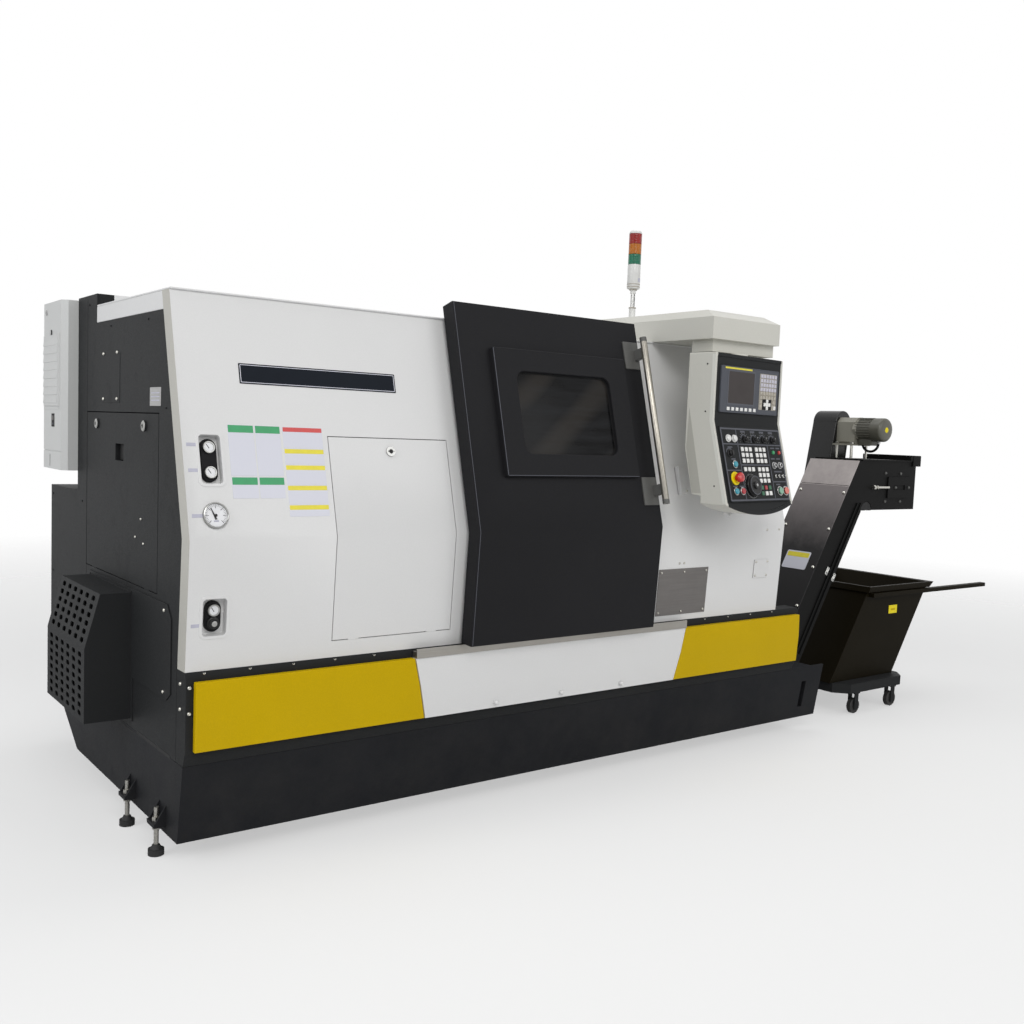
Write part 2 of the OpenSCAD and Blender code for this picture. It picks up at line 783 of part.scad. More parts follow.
module chamber_liner() {
    x0 = head_x1;
    x1 = head_x1 + liner_t;
    hole = chuck_d / 2 + 14;
    z0 = axis_z - hole;
    z1 = axis_z + hole;
    top = cover_top - 70;
    bed_top = bed_foot_z + bed_back - bed_foot_y;
    color(stainless) m() {
        // bulkhead in front of the headstock: five plates round the spindle nose
        yz([[apron_back, cover_low], [lo_y(cover_flange, cover_low + 12), cover_low + 12],
            [lo_y(cover_flange, bed_foot_z - seam), bed_foot_z - seam], [bed_foot_y, bed_foot_z - seam],
            [bed_foot_y, cover_low]], x0, x1);
        yz([[lo_y(cover_flange, bed_foot_z), bed_foot_z], fold_at(cover_flange),
            [up_y(cover_flange, z1 - seam), z1 - seam], [axis_y - hole, z1 - seam], [axis_y - hole,
                bed_foot_z]], x0, x1);
        yz([[axis_y - hole + seam, bed_foot_z], [bed_foot_y, bed_foot_z], [axis_y + hole,
            bed_foot_z + axis_y + hole - bed_foot_y],
            [axis_y + hole, z0], [axis_y - hole + seam, z0]], x0, x1);
        yz([[axis_y + hole + seam, bed_foot_z + axis_y + hole + seam - bed_foot_y],
            [bed_foot_y + z1 - seam - bed_foot_z, z1 - seam], [axis_y + hole + seam, z1 - seam]], x0, x1);
        yz([[up_y(cover_flange, z1), z1], [up_y(cover_flange, top), top], [bed_back - seam, top],
            [bed_back - seam, bed_top], [bed_foot_y + z1 - bed_foot_z, z1]], x0, x1);
        // right bulkhead
        yz([[apron_back, cover_low], [lo_y(cover_flange, cover_low + 12), cover_low + 12],
            fold_at(cover_flange),
            [up_y(cover_flange, top), top], [bed_back + 6, top], [bed_back + 6, cover_low]], bed_x1,
                bed_x1 + liner_t);
        // back wall over the bed and its fold to the roof
        box([x0, bed_back, bed_top], [bed_x1 - seam, bed_back + 6, top]);
        box([x0, bed_back, top + seam], [bed_x1 + liner_t, roof_back, top + 6]);
    }
}

module spindle_chuck() {
    color(steel) m() on_bed() translate([0, spin_s, axis_n]) rotate([0, 90, 0]) difference() {
        union() {
            translate([0, 0, head_x0 - 180]) cylinder(d = 190, h = 110);
            translate([0, 0, head_x0 - 70]) cylinder(d = 230, h = 50);
            translate([0, 0, head_x0 - 20]) cylinder(d = spindle_d, h = nose_x - head_x0 + 20);
            translate([0, 0, head_x1 + liner_t + 4]) cylinder(d = 210, h = nose_x - head_x1 - liner_t - 4);
            translate([0, 0, nose_x]) cylinder(d = chuck_d, h = chuck_l);
        }
        translate([0, 0, head_x0 - 181]) cylinder(d = bar_bore, h = nose_x + chuck_l - head_x0 + 182);
        translate([0, 0, nose_x + chuck_l - 40]) cylinder(d = bar_bore + 8, h = 41);
        for (a = [0, 120, 240]) rotate([0, 0, a]) {
            // jaw guideway
            translate([jaw_r - 6, -17, nose_x + chuck_l - 18]) cube([chuck_d / 2 - jaw_r + 7, 34, 19]);
            // face screws
            rotate([0, 0, 60]) translate([chuck_d * 0.38, 0, nose_x + chuck_l - 14]) cylinder(d = 20,
                h = 15);
        }
    }
}

// Stepped hard jaw with its tongue in the guideway.
module jaw(a) {
    color(steel) m() on_bed() translate([0, spin_s, axis_n]) rotate([0, 90, 0]) rotate([0, 0, a]) {
        translate([jaw_r + 6, -16.6, nose_x + chuck_l - 17.6]) cube([jaw_h - 6, 33.2, 17.9]);
        difference() {
            translate([jaw_r + 6, -22, nose_x + chuck_l + 0.3]) cube([jaw_h, 44, jaw_l]);
            translate([jaw_r, -23, nose_x + chuck_l + 25]) cube([28, 46, jaw_l]);
            translate([jaw_r + jaw_h - 8, -23, nose_x + chuck_l + 16]) cube([30, 46, jaw_l]);
        }
    }
}

module chuck_jaw_1() {
    jaw(0);
}

module chuck_jaw_2() {
    jaw(120);
}

module chuck_jaw_3() {
    jaw(240);
}

saddle_x0 = disc_x + 150;
saddle_l = 380;
turret_r = turret_af / 2;

module turret_saddle() {
    color(steel) m() on_bed() difference() {
        translate([saddle_x0, 150, rail_h + 0.4]) cube([saddle_l, 350, 70]);
        translate([saddle_x0 - 1, 270, rail_h + 70]) cube([saddle_l + 2, 110, 50]);
    }
    color(steel) m() on_bed() {
        for (s = [190, 450]) difference() {
            translate([saddle_x0 + 20, s - rail_w / 2 - 16, 4]) cube([saddle_l - 40, rail_w + 32,
                rail_h + 0.4 - 4]);
            translate([saddle_x0 + 19, s - rail_w / 2 - 0.4, 3]) cube([saddle_l - 38, rail_w + 0.8,
                rail_h]);
        }
        // dovetail way of the cross slide
        translate([saddle_x0 + 60, 158, rail_h + 70.4]) cube([90, 340, 26]);
        translate([saddle_x0 + 230, 158, rail_h + 70.4]) cube([90, 340, 26]);
    }
}

module cross_slide() {
    n0 = rail_h + 96.8;
    color(steel) m() on_bed() {
        translate([saddle_x0, disc_s - 130, n0]) cube([saddle_l, 250, 44]);
        translate([disc_x + turret_t + 30, disc_s - 105,
            n0 + 44]) cube([saddle_l + saddle_x0 - disc_x - turret_t - 60, 210, 150]);
        translate([disc_x + turret_t + 0.4, disc_s, axis_n]) rotate([0, 90, 0]) cylinder(r = 92, h = 30);
        translate([saddle_x0 + 300, disc_s, axis_n]) rotate([0, 90, 0]) cylinder(r = 70, h = 170);
    }
}

// Twelve-sided turret disc with tool holders on its flats.
module turret_disc() {
    color(steel) m() on_bed() translate([disc_x, disc_s, axis_n]) rotate([0, 90, 0]) difference() {
        union() {
            rotate([0, 0, 15]) cylinder(r = turret_r / cos(15), h = turret_t, $fn = 12);
            translate([0, 0, -14]) cylinder(r = 60, h = 14);
            for (i = [0:5]) rotate([0, 0, 60 * i]) {
                translate([turret_r, -30, 16]) cube([32, 60, turret_t - 32]);
                translate([turret_r + 32, -10, 26]) cube([11, 20, turret_t - 52]);
            }
            for (i = [0:5]) rotate([0, 0, 60 * i + 30])
                translate([turret_r - 1, 0, turret_t / 2]) rotate([0, 90, 0]) cylinder(d = 56, h = 27);
        }
        for (i = [0:11]) rotate([0, 0, 30 * i])
            translate([turret_r - 34, 0, -1]) cylinder(d = 12, h = 20);
        for (i = [0:5]) rotate([0, 0, 60 * i + 30])
            translate([turret_r, 0, turret_t / 2]) rotate([0, 90, 0]) cylinder(d = 25, h = 40);
    }
}

tail_l = 300;
quill_out = 150;

module tailstock() {
    color(steel) m() on_bed() difference() {
        union() {
            translate([quill_x + quill_out, spin_s - 85, rail_h + 0.4]) cube([tail_l, 160,
                axis_n - rail_h]);
            translate([quill_x + quill_out, spin_s, axis_n]) rotate([0, 90, 0]) cylinder(r = 84,
                h = tail_l);
            translate([quill_x + quill_out - 14, spin_s, axis_n]) rotate([0, 90, 0]) cylinder(r = 68,
                h = 14);
            translate([quill_x + quill_out + 20, 24, 4]) cube([tail_l - 40, rail_w + 32, rail_h]);
        }
        translate([quill_x + quill_out - 15, spin_s, axis_n]) rotate([0, 90, 0])
            cylinder(d = quill_d + 2 * run_gap, h = tail_l - 20);
        translate([quill_x + quill_out - 1, 40 - 0.4, 3]) cube([tail_l + 2, rail_w + 0.8, rail_h - 2.6]);
    }
}

module tailstock_quill() {
    color(steel) m() on_bed() translate([quill_x, spin_s, axis_n]) rotate([0, 90, 0]) {
        cylinder(d1 = 2, d2 = 44, h = 36);
        translate([0, 0, 36]) cylinder(d = 60, h = 30);
        translate([0, 0, 66]) cylinder(d = quill_d, h = 330);
    }
}

module main_door() {
    color(black) m() difference() {
        yz(band3(sub_line(door_off, door_bottom, door_top), 0, door_depth), door_x, door_x + door_w);
        on_up(door_off) translate([win_x, 0, win_z]) slab(-5, door_depth + 5) rrect(win_w, win_h, win_r);
    }
}

win_x = door_x + door_w / 2 + 14;
win_z = 449;

module window_frame() {
    color(black) m() on_up(door_off) translate([win_x, 0, win_z]) slab(-12, -seat_gap) difference() {
        rrect(frame_w, frame_h, 26);
        rrect(win_w, win_h, win_r);
    }
}

module window_glass() {
    color([0.1, 0.13, 0.14]) m() on_up(door_off) translate([win_x, 0, win_z])
        slab(-7, pane_t - 7) rrect(win_w - 2 * seam, win_h - 2 * seam, win_r - seam);
}

bar_x = door_x1 - 24;
bar_z = 435;

module door_handle() {
    color(steel) m() on_up(door_off) translate([bar_x, 0, bar_z]) {
        translate([0, -bar_off, -bar_len / 2]) cylinder(d = bar_d, h = bar_len);
        for (s = [-1, 1]) translate([0, 0, s * (bar_len / 2 - 63)]) {
            // folded bracket on the door and the post that carries the bar
            translate([-65, -6, -58]) cube([80, 6 - seat_gap, 116]);
            translate([-11, -bar_off, -22]) cube([22, bar_off - 5, 44]);
        }
    }
}

acc_line = sub_line(0, acc_low, acc_high);
tab = panel_gap - 0.4;

module access_door() {
    color(white) m() difference() {
        union() {
            yz(band3(acc_line, 0, sheet), acc_x, acc_x + acc_w);
            for (x = [acc_x + 4, acc_x + acc_w - 10])
                yz(band3(acc_line, 0, 24), x, x + 6);
            // hinge tabs in the gap under the door
            for (x = [acc_x + 60, acc_x + acc_w - 100])
                yz([[lo_y(0, acc_low - tab), acc_low - tab], [lo_y(0, acc_low), acc_low],
                    [lo_y(sheet, acc_low), acc_low + 1], [lo_y(sheet, acc_low - tab), acc_low - tab]], x,
                        x + 40);
        }
        on_up(0) translate([acc_x + acc_w / 2, 0, lock_z]) post_y(lock_d / 2 - 6, -5, sheet + 5);
    }
}

lock_z = 296;

module access_lock() {
    color(steel) m() on_up(0) translate([acc_x + acc_w / 2, 0, lock_z]) difference() {
        union() {
            post_y(lock_d / 2, -5.3, -0.3);
            post_y(lock_d / 2 - 6.4, -0.3, sheet + 6);
            translate([-9, sheet + 6, -9]) cube([18, 4, 44]);
        }
        translate([-lock_d / 2 + 5, -6, -2]) cube([lock_d - 10, 3, 4]);
    }
}

module side_door() {
    color(black) m() {
        difference() {
            union() {
                box([0, side_y, side_low], [sheet, side_y + side_w, side_low + side_h]);
                for (y = [side_y + 4, side_y + side_w - 10])
                    box([0, y, side_low], [24, y + 6, side_low + side_h]);
                // hinge tabs in the gap under the door
                for (y = [side_y + 80, side_y + side_w - 130])
                    box([0, y, side_low - tab], [sheet, y + 50, side_low]);
            }
            box([-1, 630, 1270], [sheet + 1, 726, 1330]);
        }
        // pull recess
        difference() {
            box([sheet, 622, 1262], [sheet + 26, 734, 1338]);
            box([sheet - 1, 630, 1270], [sheet + 20, 726, 1330]);
        }
        for (y = [side_y + 138, side_y + side_w - 138])
            translate([0, y, side_low + side_h - 42]) rotate([0, -90, 0]) cylinder(d = lock_d, h = 6);
    }
}

// Skin of the pendant's folded front, (depth, height).
function pend_outline(d0, d1) = [[pend_y0 + d0, pend_top - 0], [pend_y0 + d0, pend_fold],
    [pend_y0 + d0 - pend_reach * 1.2, pend_fold - (pend_fold - pend_low) * 1.2],
    [pend_y0 + d1 - pend_reach * 1.2, pend_fold - (pend_fold - pend_low) * 1.2],
    [pend_y0 + d1, pend_fold], [pend_y0 + d1, pend_top - 0]];

// Side outline of the pendant: folded front, straight back, undercut lower corner.
function pend_side() = let (b = pend_y0 + pend_t, low = pend_fold - (pend_fold - pend_low) * 1.2)
    [[pend_y0, pend_top], [pend_y0, pend_fold], [pend_y0 - pend_reach * 1.2, low], [b - 90, low],
     [b - 90, pend_low + 31], [b - 45, pend_low + 36], [b, pend_low + 225], [b, pend_top]];

// Front view of the pendant with its rounded lower edge.
sag_r = (pow(pend_w / 2, 2) + pow(pend_sag, 2)) / (2 * pend_sag);

module pend_front(inset) {
    intersection() {
        translate([-pend_w / 2 + inset, pend_low - pend_sag - 5])
            square([pend_w - 2 * inset, pend_top - pend_low + pend_sag + 5 - inset]);
        translate([0, pend_low - pend_sag + sag_r]) circle(sag_r - inset, $fn = 120);
    }
}

module pendant_housing() {
    color(warm_white) m() on_pendant() {
        difference() {
            intersection() {
                yz(pend_side(), -pend_w / 2, pend_w / 2);
                slab(-400, 300) pend_front(0);
            }
            // bed of the front fascia between the side rims
            intersection() {
                yz(pend_outline(-1, fascia_t + rim_face), -pend_w, pend_w);
                slab(-400, 300) pend_front(rim_w);
            }
        }
        // swivel boss
        translate([0, 0, pend_top]) cylinder(r = 46, h = 11.6);
    }
}

// key caps: size, pitch across and down, and the centres of the first columns and rows
key_w = 17;
key_p = [29.5, 24.4];
key_s = [0.311, 0.545];
key_t = [0.32, 0.593, 0.844];

// Grid of square key caps on the sloping panel, from the centre of its first cap.
module keys(s, t, nx, ny) {
    translate(panel_at(s, t)) for (i = [0:nx - 1], j = [0:ny - 1])
        translate([i * key_p[0] - key_w / 2, -3, -j * key_p[1] - key_w / 2]) cube([key_w, 3, key_w]);
}

module pendant_fascia() {
    color(black) m() {
        difference() {
            union() {
                on_pendant() intersection() {
                    yz(pend_outline(rim_face, fascia_t + rim_face), -pend_w, pend_w);
                    slab(-400, 300) pend_front(rim_w + 0.4);
                }
                // raised key panel
                intersection() {
                    on_panel() translate([-panel_w / 2 + 1, rim_face - plate_t, 12 - panel_l])
                        cube([panel_w - 2, plate_t + 1, panel_l - 36]);
                    on_pendant() slab(-400, 300) pend_front(rim_w + 12);
                }
            }
            // clearance holes of the push buttons
            on_panel() translate(panel_at(estop_p[0], estop_p[1])) post_y(9.5, -1, 16);
            on_panel() for (p = [start_p, stop_p]) translate(panel_at(p[0], p[1])) post_y(8.5, -1, 16);
        }
        on_panel() {
            for (c = key_s) keys(c, key_t[0], 3, 3);
            keys(key_s[0], key_t[1], 3, 1);
            keys(key_s[1], key_t[1], 3, 3);
            keys(key_s[1], key_t[2], 3, 2);
            // pilot lamps, key switches, lit buttons, selector
            for (s = [0.109, 0.208]) translate(panel_at(s, 0.179)) post_y(13, -9, 0);
            for (s = [0.814, 0.913]) translate(panel_at(s, 0.537)) post_y(11, -10, 0);
            for (p = [[0.105, 0.889], [0.211, 0.888], [0.153, 0.528]])
                translate(panel_at(p[0], p[1])) post_y(12, -7, 0);
            translate(panel_at(0.098, 0.379)) post_y(13, -14, 0);
            translate(panel_at(estop_p[0], estop_p[1])) difference() {
                post_y(24, -4, 0);
                post_y(9.5, -5, 1);
            }
        }
    }
}

disp_w = 430;
disp_h = 190;
disp_z = pend_fold + 34;

module display_unit() {
    color(warm_white) m() on_pendant() translate([0, pend_y0 + rim_face, disp_z]) difference() {
        translate([-disp_w / 2, -8, 0]) cube([disp_w, 8, disp_h]);
        // screen recess
        translate([-disp_w / 2 + 55, -9, 39]) cube([187, 4, 130]);
        // key pad recess
        translate([-disp_w / 2 + 285, -9, 22]) cube([130, 3, 150]);
        // row of soft keys
        for (i = [0:6]) translate([-disp_w / 2 + 48 + i * 32.3, -9, 8]) cube([20, 3, 11]);
    }
}

hand_p = [0.383, 0.82];
mode_p = [0.37, 0.189];
feed_p = [0.533, 0.189];
rapid_p = [0.686, 0.189];
spin_p = [0.844, 0.189];
start_p = [0.85, 0.893];
stop_p = [0.948, 0.893];

module estop_button() {
    color([0.75, 0.08, 0.08]) m() on_panel() translate(panel_at(estop_p[0], estop_p[1])) {
        post_y(9, -16, -0.3);
        post_y(20, -34, -16);
        post_y(15, -38, -34);
    }
}

module handwheel() {
    color(black) m() on_panel() translate(panel_at(hand_p[0], hand_p[1])) {
        difference() {
            post_y(wheel_d / 2, -20, -4);
            for (i = [0:19]) rotate([0, 18 * i, 0]) translate([wheel_d / 2 + 1, 0, 0]) post_y(3, -21, -3);
        }
        post_y(14, -4, -0.3);
        post_y(16, -26, -20);
    }
}

// Rotary switch knob with a pointer ridge.
module knob(p) {
    color(black) m() on_panel() translate(panel_at(p[0], p[1])) {
        post_y(knob_d / 2, -9, -0.3);
        post_y(knob_d / 2 - 4, -18, -9);
        translate([-2.5, -20, -knob_d / 2 + 4]) cube([5, 3, knob_d - 8]);
    }
}

module mode_knob() {
    knob(mode_p);
}

module feed_knob() {
    knob(feed_p);
}

module rapid_knob() {
    knob(rapid_p);
}

module spindle_knob() {
    knob(spin_p);
}

// Round push button that stands clear of the panel by its travel.
module push_button(p, tint) {
    color(tint) m() on_panel() translate(panel_at(p[0], p[1])) {
        post_y(15, -10, -4);
        post_y(8, -4, -0.3);
    }
}

module cycle_start() {
    push_button(start_p, [0.2, 0.55, 0.4]);
}

module cycle_stop() {
    push_button(stop_p, [0.8, 0.35, 0.3]);
}

mouth_x = rise_x + 223;

module conveyor_trough() {
    color(black) m() difference() {
        union() {
            xz([[trunk_x0, trunk_low], [under_x(trunk_low), trunk_low], [rise_x, head_low], [head_x,
                head_low],
                [head_x, head_top], [cover_x(head_top), head_top], [cover_x(base_top), base_top],
                [trunk_x0, base_top]], conv_y, conv_back);
            // twin flange ribs along the rising side
            for (o = [30, 62])
                xz([[under_x(base_top) - o - 6, base_top], [under_x(base_top) - o, base_top],
                    [under_x(1120) - o, 1120], [under_x(1120) - o - 6, 1120]], conv_y - 7, conv_y);
            // lip round the head
            box([cover_x(head_top) + 30, conv_y - 5, head_top], [head_x, conv_back, head_top + 10]);
            // hinged flap at the end of the head
            box([head_x - 66, conv_y - 8, head_top + 10], [head_x + 26, conv_back, head_top + 38]);
            // take-up bearing plate
            box([mouth_x, conv_y - 8, 1144], [mouth_x + 210, conv_y, 1262]);
        }
        // open channel of the level run
        box([trunk_x0 + conv_wall, conv_y + conv_wall, trunk_low + conv_wall + 30],
            [cover_x(base_top) - 20, conv_back - conv_wall, base_top + 1]);
        // discharge mouth under the head
        box([mouth_x, conv_y + conv_wall, head_low - 1], [head_x - conv_wall, conv_back - conv_wall,
            head_top - 60]);
        // half-round relief in the side plate
        translate([rise_x + 43, 0, head_low]) post_y(48, conv_y - 1, conv_y + 3);
        // adjusting slot of the take-up plate
        box([mouth_x + 50, conv_y - 9, 1190], [mouth_x + 160, conv_y - 3, 1216]);
    }
}

cover_t = 5;
bend_z = 1211;

module conveyor_cover() {
    nx = -sin(60) * cover_t;
    nz = cos(60) * cover_t;
    color(stainless) m() translate([-sin(60) * seat_gap, 0, cos(60) * seat_gap]) {
        xz([[cover_x(base_top + 8), base_top + 8], [cover_x(bend_z - 2), bend_z - 2],
            [cover_x(bend_z - 2) + nx, bend_z - 2 + nz], [cover_x(base_top + 8) + nx, base_top + 8 + nz]],
           conv_y - 6, conv_back + 6);
        xz([[cover_x(bend_z), bend_z], [cover_x(head_top), head_top],
            [cover_x(head_top) + nx, head_top + nz], [cover_x(bend_z) + nx, bend_z + nz]],
           conv_y - 6, conv_back + 6);
    }
}

drive_x = rise_x + 219;
drive_z = 1518;
guard_r = 68;
guard_w = 160;

module chain_guard() {
    color(black) m() slab(conv_back, conv_back + guard_w) {
        polygon([[drive_x - guard_r - 72, 1170], [drive_x + 20, 1170], [drive_x + guard_r, drive_z + 36],
                 [drive_x - guard_r, drive_z + 36]]);
        translate([drive_x, drive_z + 36]) circle(guard_r);
    }
}

module conveyor_motor() {
    foot_z = head_top + 92;
    color([0.36, 0.36, 0.32]) m() {
        // gearbox
        box([drive_x - 56, conv_back - 118, foot_z], [drive_x + 44, conv_back, drive_z + 66]);
        // foot plate and its studs on the head
        box([drive_x - 90, conv_back - 130, foot_z - 10], [drive_x + 80, conv_back, foot_z]);
        for (x = [drive_x - 76, drive_x + 64], y = [conv_back - 116, conv_back - 20])
            translate([x, y, head_top + 10]) cylinder(d = 14, h = foot_z - head_top - 20);
        // motor body, fan cowl and end dome
        translate([drive_x, 0, drive_z]) {
            post_y(motor_d / 2, conv_back - 232, conv_back - 118);
            post_y(motor_d / 2 + 3, conv_back - 268, conv_back - 212);
            translate([0, conv_back - 268, 0]) rotate([90, 0, 0])
                cylinder(r1 = motor_d / 2 + 3, r2 = motor_d / 2 - 14, h = 14);
        }
        // terminal box and supply loop
        box([drive_x - 34, conv_back - 210, drive_z - motor_d / 2 - 26],
            [drive_x + 34, conv_back - 130, drive_z - motor_d / 2 + 8]);
        translate([drive_x, conv_back - 170, drive_z - motor_d / 2 - 14]) rotate([90, 0, 90])
            rotate([0, 0, 180]) rotate_extrude(angle = 180) translate([30, 0]) circle(6);
    }
}

// Fork of a caster wheel under the dolly.
module fork() {
    for (y = [17, -22])
        translate([-16, y, caster_z - 18]) cube([32, 5, dolly_top - 50 - caster_z + 18]);
    translate([-22, -26, dolly_top - 56]) cube([44, 52, 6]);
    translate([0, 17.5, caster_z]) rotate([90, 0, 0]) cylinder(d = axle_d, h = 35);
}

function caster_pos(i) = [cart_cx + (i % 2 == 0 ? -1 : 1) * caster_x,
                          cart_cy + (i < 2 ? -1 : 1) * caster_y, 0];

module cart_dolly() {
    c = 69;
    x0 = cart_cx - dolly_l / 2;
    x1 = cart_cx + dolly_l / 2;
    y0 = cart_cy - dolly_w / 2;
    y1 = cart_cy + dolly_w / 2;
    color(black) m() {
        difference() {
            translate([0, 0, dolly_top - 50]) linear_extrude(50)
                polygon([[x0 + c, y0], [x1 - c, y0], [x1, y0 + c], [x1, y1 - c], [x1 - c, y1],
                         [x0 + c, y1], [x0, y1 - c], [x0, y0 + c]]);
            box([x0 + 60, y0 + 110, dolly_top - 51], [x1 - 60, y1 - 110, dolly_top - 8]);
        }
        for (i = [0:3]) translate(caster_pos(i)) fork();
    }
}

// Caster wheel with a hub, bored for its axle.
module caster(i) {
    color(black) m() translate(caster_pos(i)) difference() {
        union() {
            translate([0, 14, caster_z]) rotate([90, 0, 0]) cylinder(r = caster_z, h = 28);
            translate([0, 16, caster_z]) rotate([90, 0, 0]) cylinder(r = 16, h = 32);
        }
        translate([0, 20, caster_z]) rotate([90, 0, 0]) cylinder(d = axle_d + 2 * run_gap, h = 40);
    }
}

module cart_wheel_1() {
    caster(0);
}

module cart_wheel_2() {
    caster(1);
}

module cart_wheel_3() {
    caster(2);
}

module cart_wheel_4() {
    caster(3);
}

// Leaning hopper with a flanged rim and a bar handle.
function lean_x(x, z) = x + (z - dolly_top) * bin_lean / bin_h;

module chip_bin() {
    top = dolly_top + bin_h;
    x1 = bin_x0 + bin_l;
    color(black) m() {
        difference() {
            union() {
                xz([[bin_x0, dolly_top], [x1, dolly_top], [lean_x(x1, top), top], [lean_x(bin_x0, top),
                    top]],
                   bin_y0, bin_y0 + bin_w);
                // rim flange
                xz([[lean_x(bin_x0, top - rim_h) - 14, top - rim_h], [lean_x(x1, top - rim_h) + 14,
                    top - rim_h],
                    [lean_x(x1, top) + 34, top], [lean_x(bin_x0, top) - 14, top]],
                   bin_y0 - 16, bin_y0 + bin_w + 16);
            }
            xz([[bin_x0 + bin_t * 1.2, dolly_top + bin_t], [x1 - bin_t * 1.2, dolly_top + bin_t],
                [lean_x(x1 - bin_t * 1.2, top + 1), top + 1], [lean_x(bin_x0 + bin_t * 1.2, top + 1),
                    top + 1]],
               bin_y0 + bin_t, bin_y0 + bin_w - bin_t);
        }
        box([grip_x, bin_y0 - 34, top - rim_h - 26], [handle_x, bin_y0, top - rim_h - 4]);
    }
}

base_plinth();
levelling_feet();
front_apron();
apron_bands();
apron_centre_band();
door_rails();
left_cover();
left_end_panel();
right_end_panel();
vent_guard();
rear_cabinet();
cabinet_cooler();
roof_cover();
gauge_pockets();
pressure_gauge();
right_cover();
cover_plate();
canopy();
tower_post();
tower_lamps();
slant_bed();
headstock();
chamber_liner();
conveyor_trough();
conveyor_cover();
chain_guard();
conveyor_motor();
main_door();
window_frame();
window_glass();
door_handle();
access_door();
access_lock();
side_door();
pendant_housing();
pendant_fascia();
display_unit();
estop_button();
handwheel();
mode_knob();
feed_knob();
rapid_knob();
spindle_knob();
cycle_start();
cycle_stop();
spindle_chuck();
chuck_jaw_1();
chuck_jaw_2();
chuck_jaw_3();
turret_saddle();
cross_slide();
turret_disc();
tailstock();
tailstock_quill();
cart_dolly();
chip_bin();
cart_wheel_1();
cart_wheel_2();
cart_wheel_3();
cart_wheel_4();
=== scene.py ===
import json
import math

import bmesh
import bpy
from mathutils import Matrix, Vector


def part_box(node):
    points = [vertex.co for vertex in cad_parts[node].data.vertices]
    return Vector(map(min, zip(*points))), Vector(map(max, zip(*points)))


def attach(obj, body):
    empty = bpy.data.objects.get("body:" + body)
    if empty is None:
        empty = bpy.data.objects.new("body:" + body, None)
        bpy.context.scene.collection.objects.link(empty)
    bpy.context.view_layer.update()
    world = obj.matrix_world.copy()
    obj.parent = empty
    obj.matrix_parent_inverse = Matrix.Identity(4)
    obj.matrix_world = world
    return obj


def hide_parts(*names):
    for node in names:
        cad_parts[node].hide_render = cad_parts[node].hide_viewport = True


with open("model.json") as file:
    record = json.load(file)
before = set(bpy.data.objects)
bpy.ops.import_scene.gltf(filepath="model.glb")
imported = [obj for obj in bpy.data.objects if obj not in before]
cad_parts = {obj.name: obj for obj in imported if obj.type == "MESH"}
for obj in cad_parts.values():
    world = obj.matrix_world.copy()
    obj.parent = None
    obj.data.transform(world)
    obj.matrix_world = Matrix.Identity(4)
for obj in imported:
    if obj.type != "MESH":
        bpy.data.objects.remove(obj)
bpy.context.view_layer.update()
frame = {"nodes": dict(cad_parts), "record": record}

bl_info = {
    "name": "Turning lathe dressing",
    "version": (1, 0, 0),
    "blender": (4, 5, 0),
    "location": "3D View > Sidebar > Lathe",
    "description": "Finishes and trim of an enclosed slant-bed turning lathe",
    "category": "Object",
}

# Machine frame, in millimetres: X from the plinth's left end, Y from its front edge, Z from the floor.
COVER_END, CABINET_BACK = 2826.0, 1633.0
ORIGIN = Vector((COVER_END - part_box("right_end_panel")[1][0] * 1000,
                 CABINET_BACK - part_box("rear_cabinet")[1][1] * 1000, 0.0))


def lin(r, g, b):
    """Linear colour of an 8-bit display colour."""
    return tuple(c / 255 / 12.92 if c <= 10 else ((c / 255 + 0.055) / 1.055) ** 2.4 for c in (r, g, b))


class LatheSizes(bpy.types.PropertyGroup):
    """Sizes of the trim that a user would change."""
    edge: bpy.props.FloatProperty(name="Folded edge", description="Radius of a folded sheet edge",
                                  default=0.0025, min=0.0005, unit="LENGTH")
    screw: bpy.props.FloatProperty(name="Screw head", description="Diameter of a cover screw's head",
                                   default=0.013, min=0.006, unit="LENGTH")
    key: bpy.props.FloatProperty(name="Key cap", description="Width of a key cap on the pendant",
                                 default=0.0174, min=0.01, unit="LENGTH")
    fins: bpy.props.IntProperty(name="Motor fins", description="Number of fins on the conveyor motor",
                                default=28, min=8)


class LatheColours(bpy.types.PropertyGroup):
    """Colours of the paints, as linear values."""
    cover: bpy.props.FloatVectorProperty(name="Covers", description="White of the front covers",
                                         subtype="COLOR", default=lin(226, 226, 226))
    pendant: bpy.props.FloatVectorProperty(name="Pendant", description="Warm white of pendant and arm",
                                           subtype="COLOR", default=lin(208, 207, 199))
    coat: bpy.props.FloatVectorProperty(name="Black coat", description="Textured black of plinth and doors",
                                        subtype="COLOR", default=lin(40, 41, 42))
    band: bpy.props.FloatVectorProperty(name="Bands", description="Mustard of the apron bands",
                                        subtype="COLOR", default=lin(203, 170, 0))
    steel: bpy.props.FloatVectorProperty(name="Stainless", description="Stainless sheet",
                                         subtype="COLOR", default=lin(120, 117, 115))


# Shader building

class Sock:
    """A shader socket that takes part in sums."""

    def __init__(self, paint, out):
        self.paint = paint
        self.out = out

    def _sum(self, kind, a, b):
        return self.paint.node("ShaderNodeMath", {"operation": kind}, {0: a, 1: b})

    def __add__(self, o):
        return self._sum("ADD", self, o)

    def __radd__(self, o):
        return self._sum("ADD", o, self)

    def __sub__(self, o):
        return self._sum("SUBTRACT", self, o)

    def __rsub__(self, o):
        return self._sum("SUBTRACT", o, self)

    def __mul__(self, o):
        return self._sum("MULTIPLY", self, o)

    def __rmul__(self, o):
        return self._sum("MULTIPLY", o, self)

    def __gt__(self, o):
        return self._sum("GREATER_THAN", self, o)

    def __lt__(self, o):
        return self._sum("LESS_THAN", self, o)


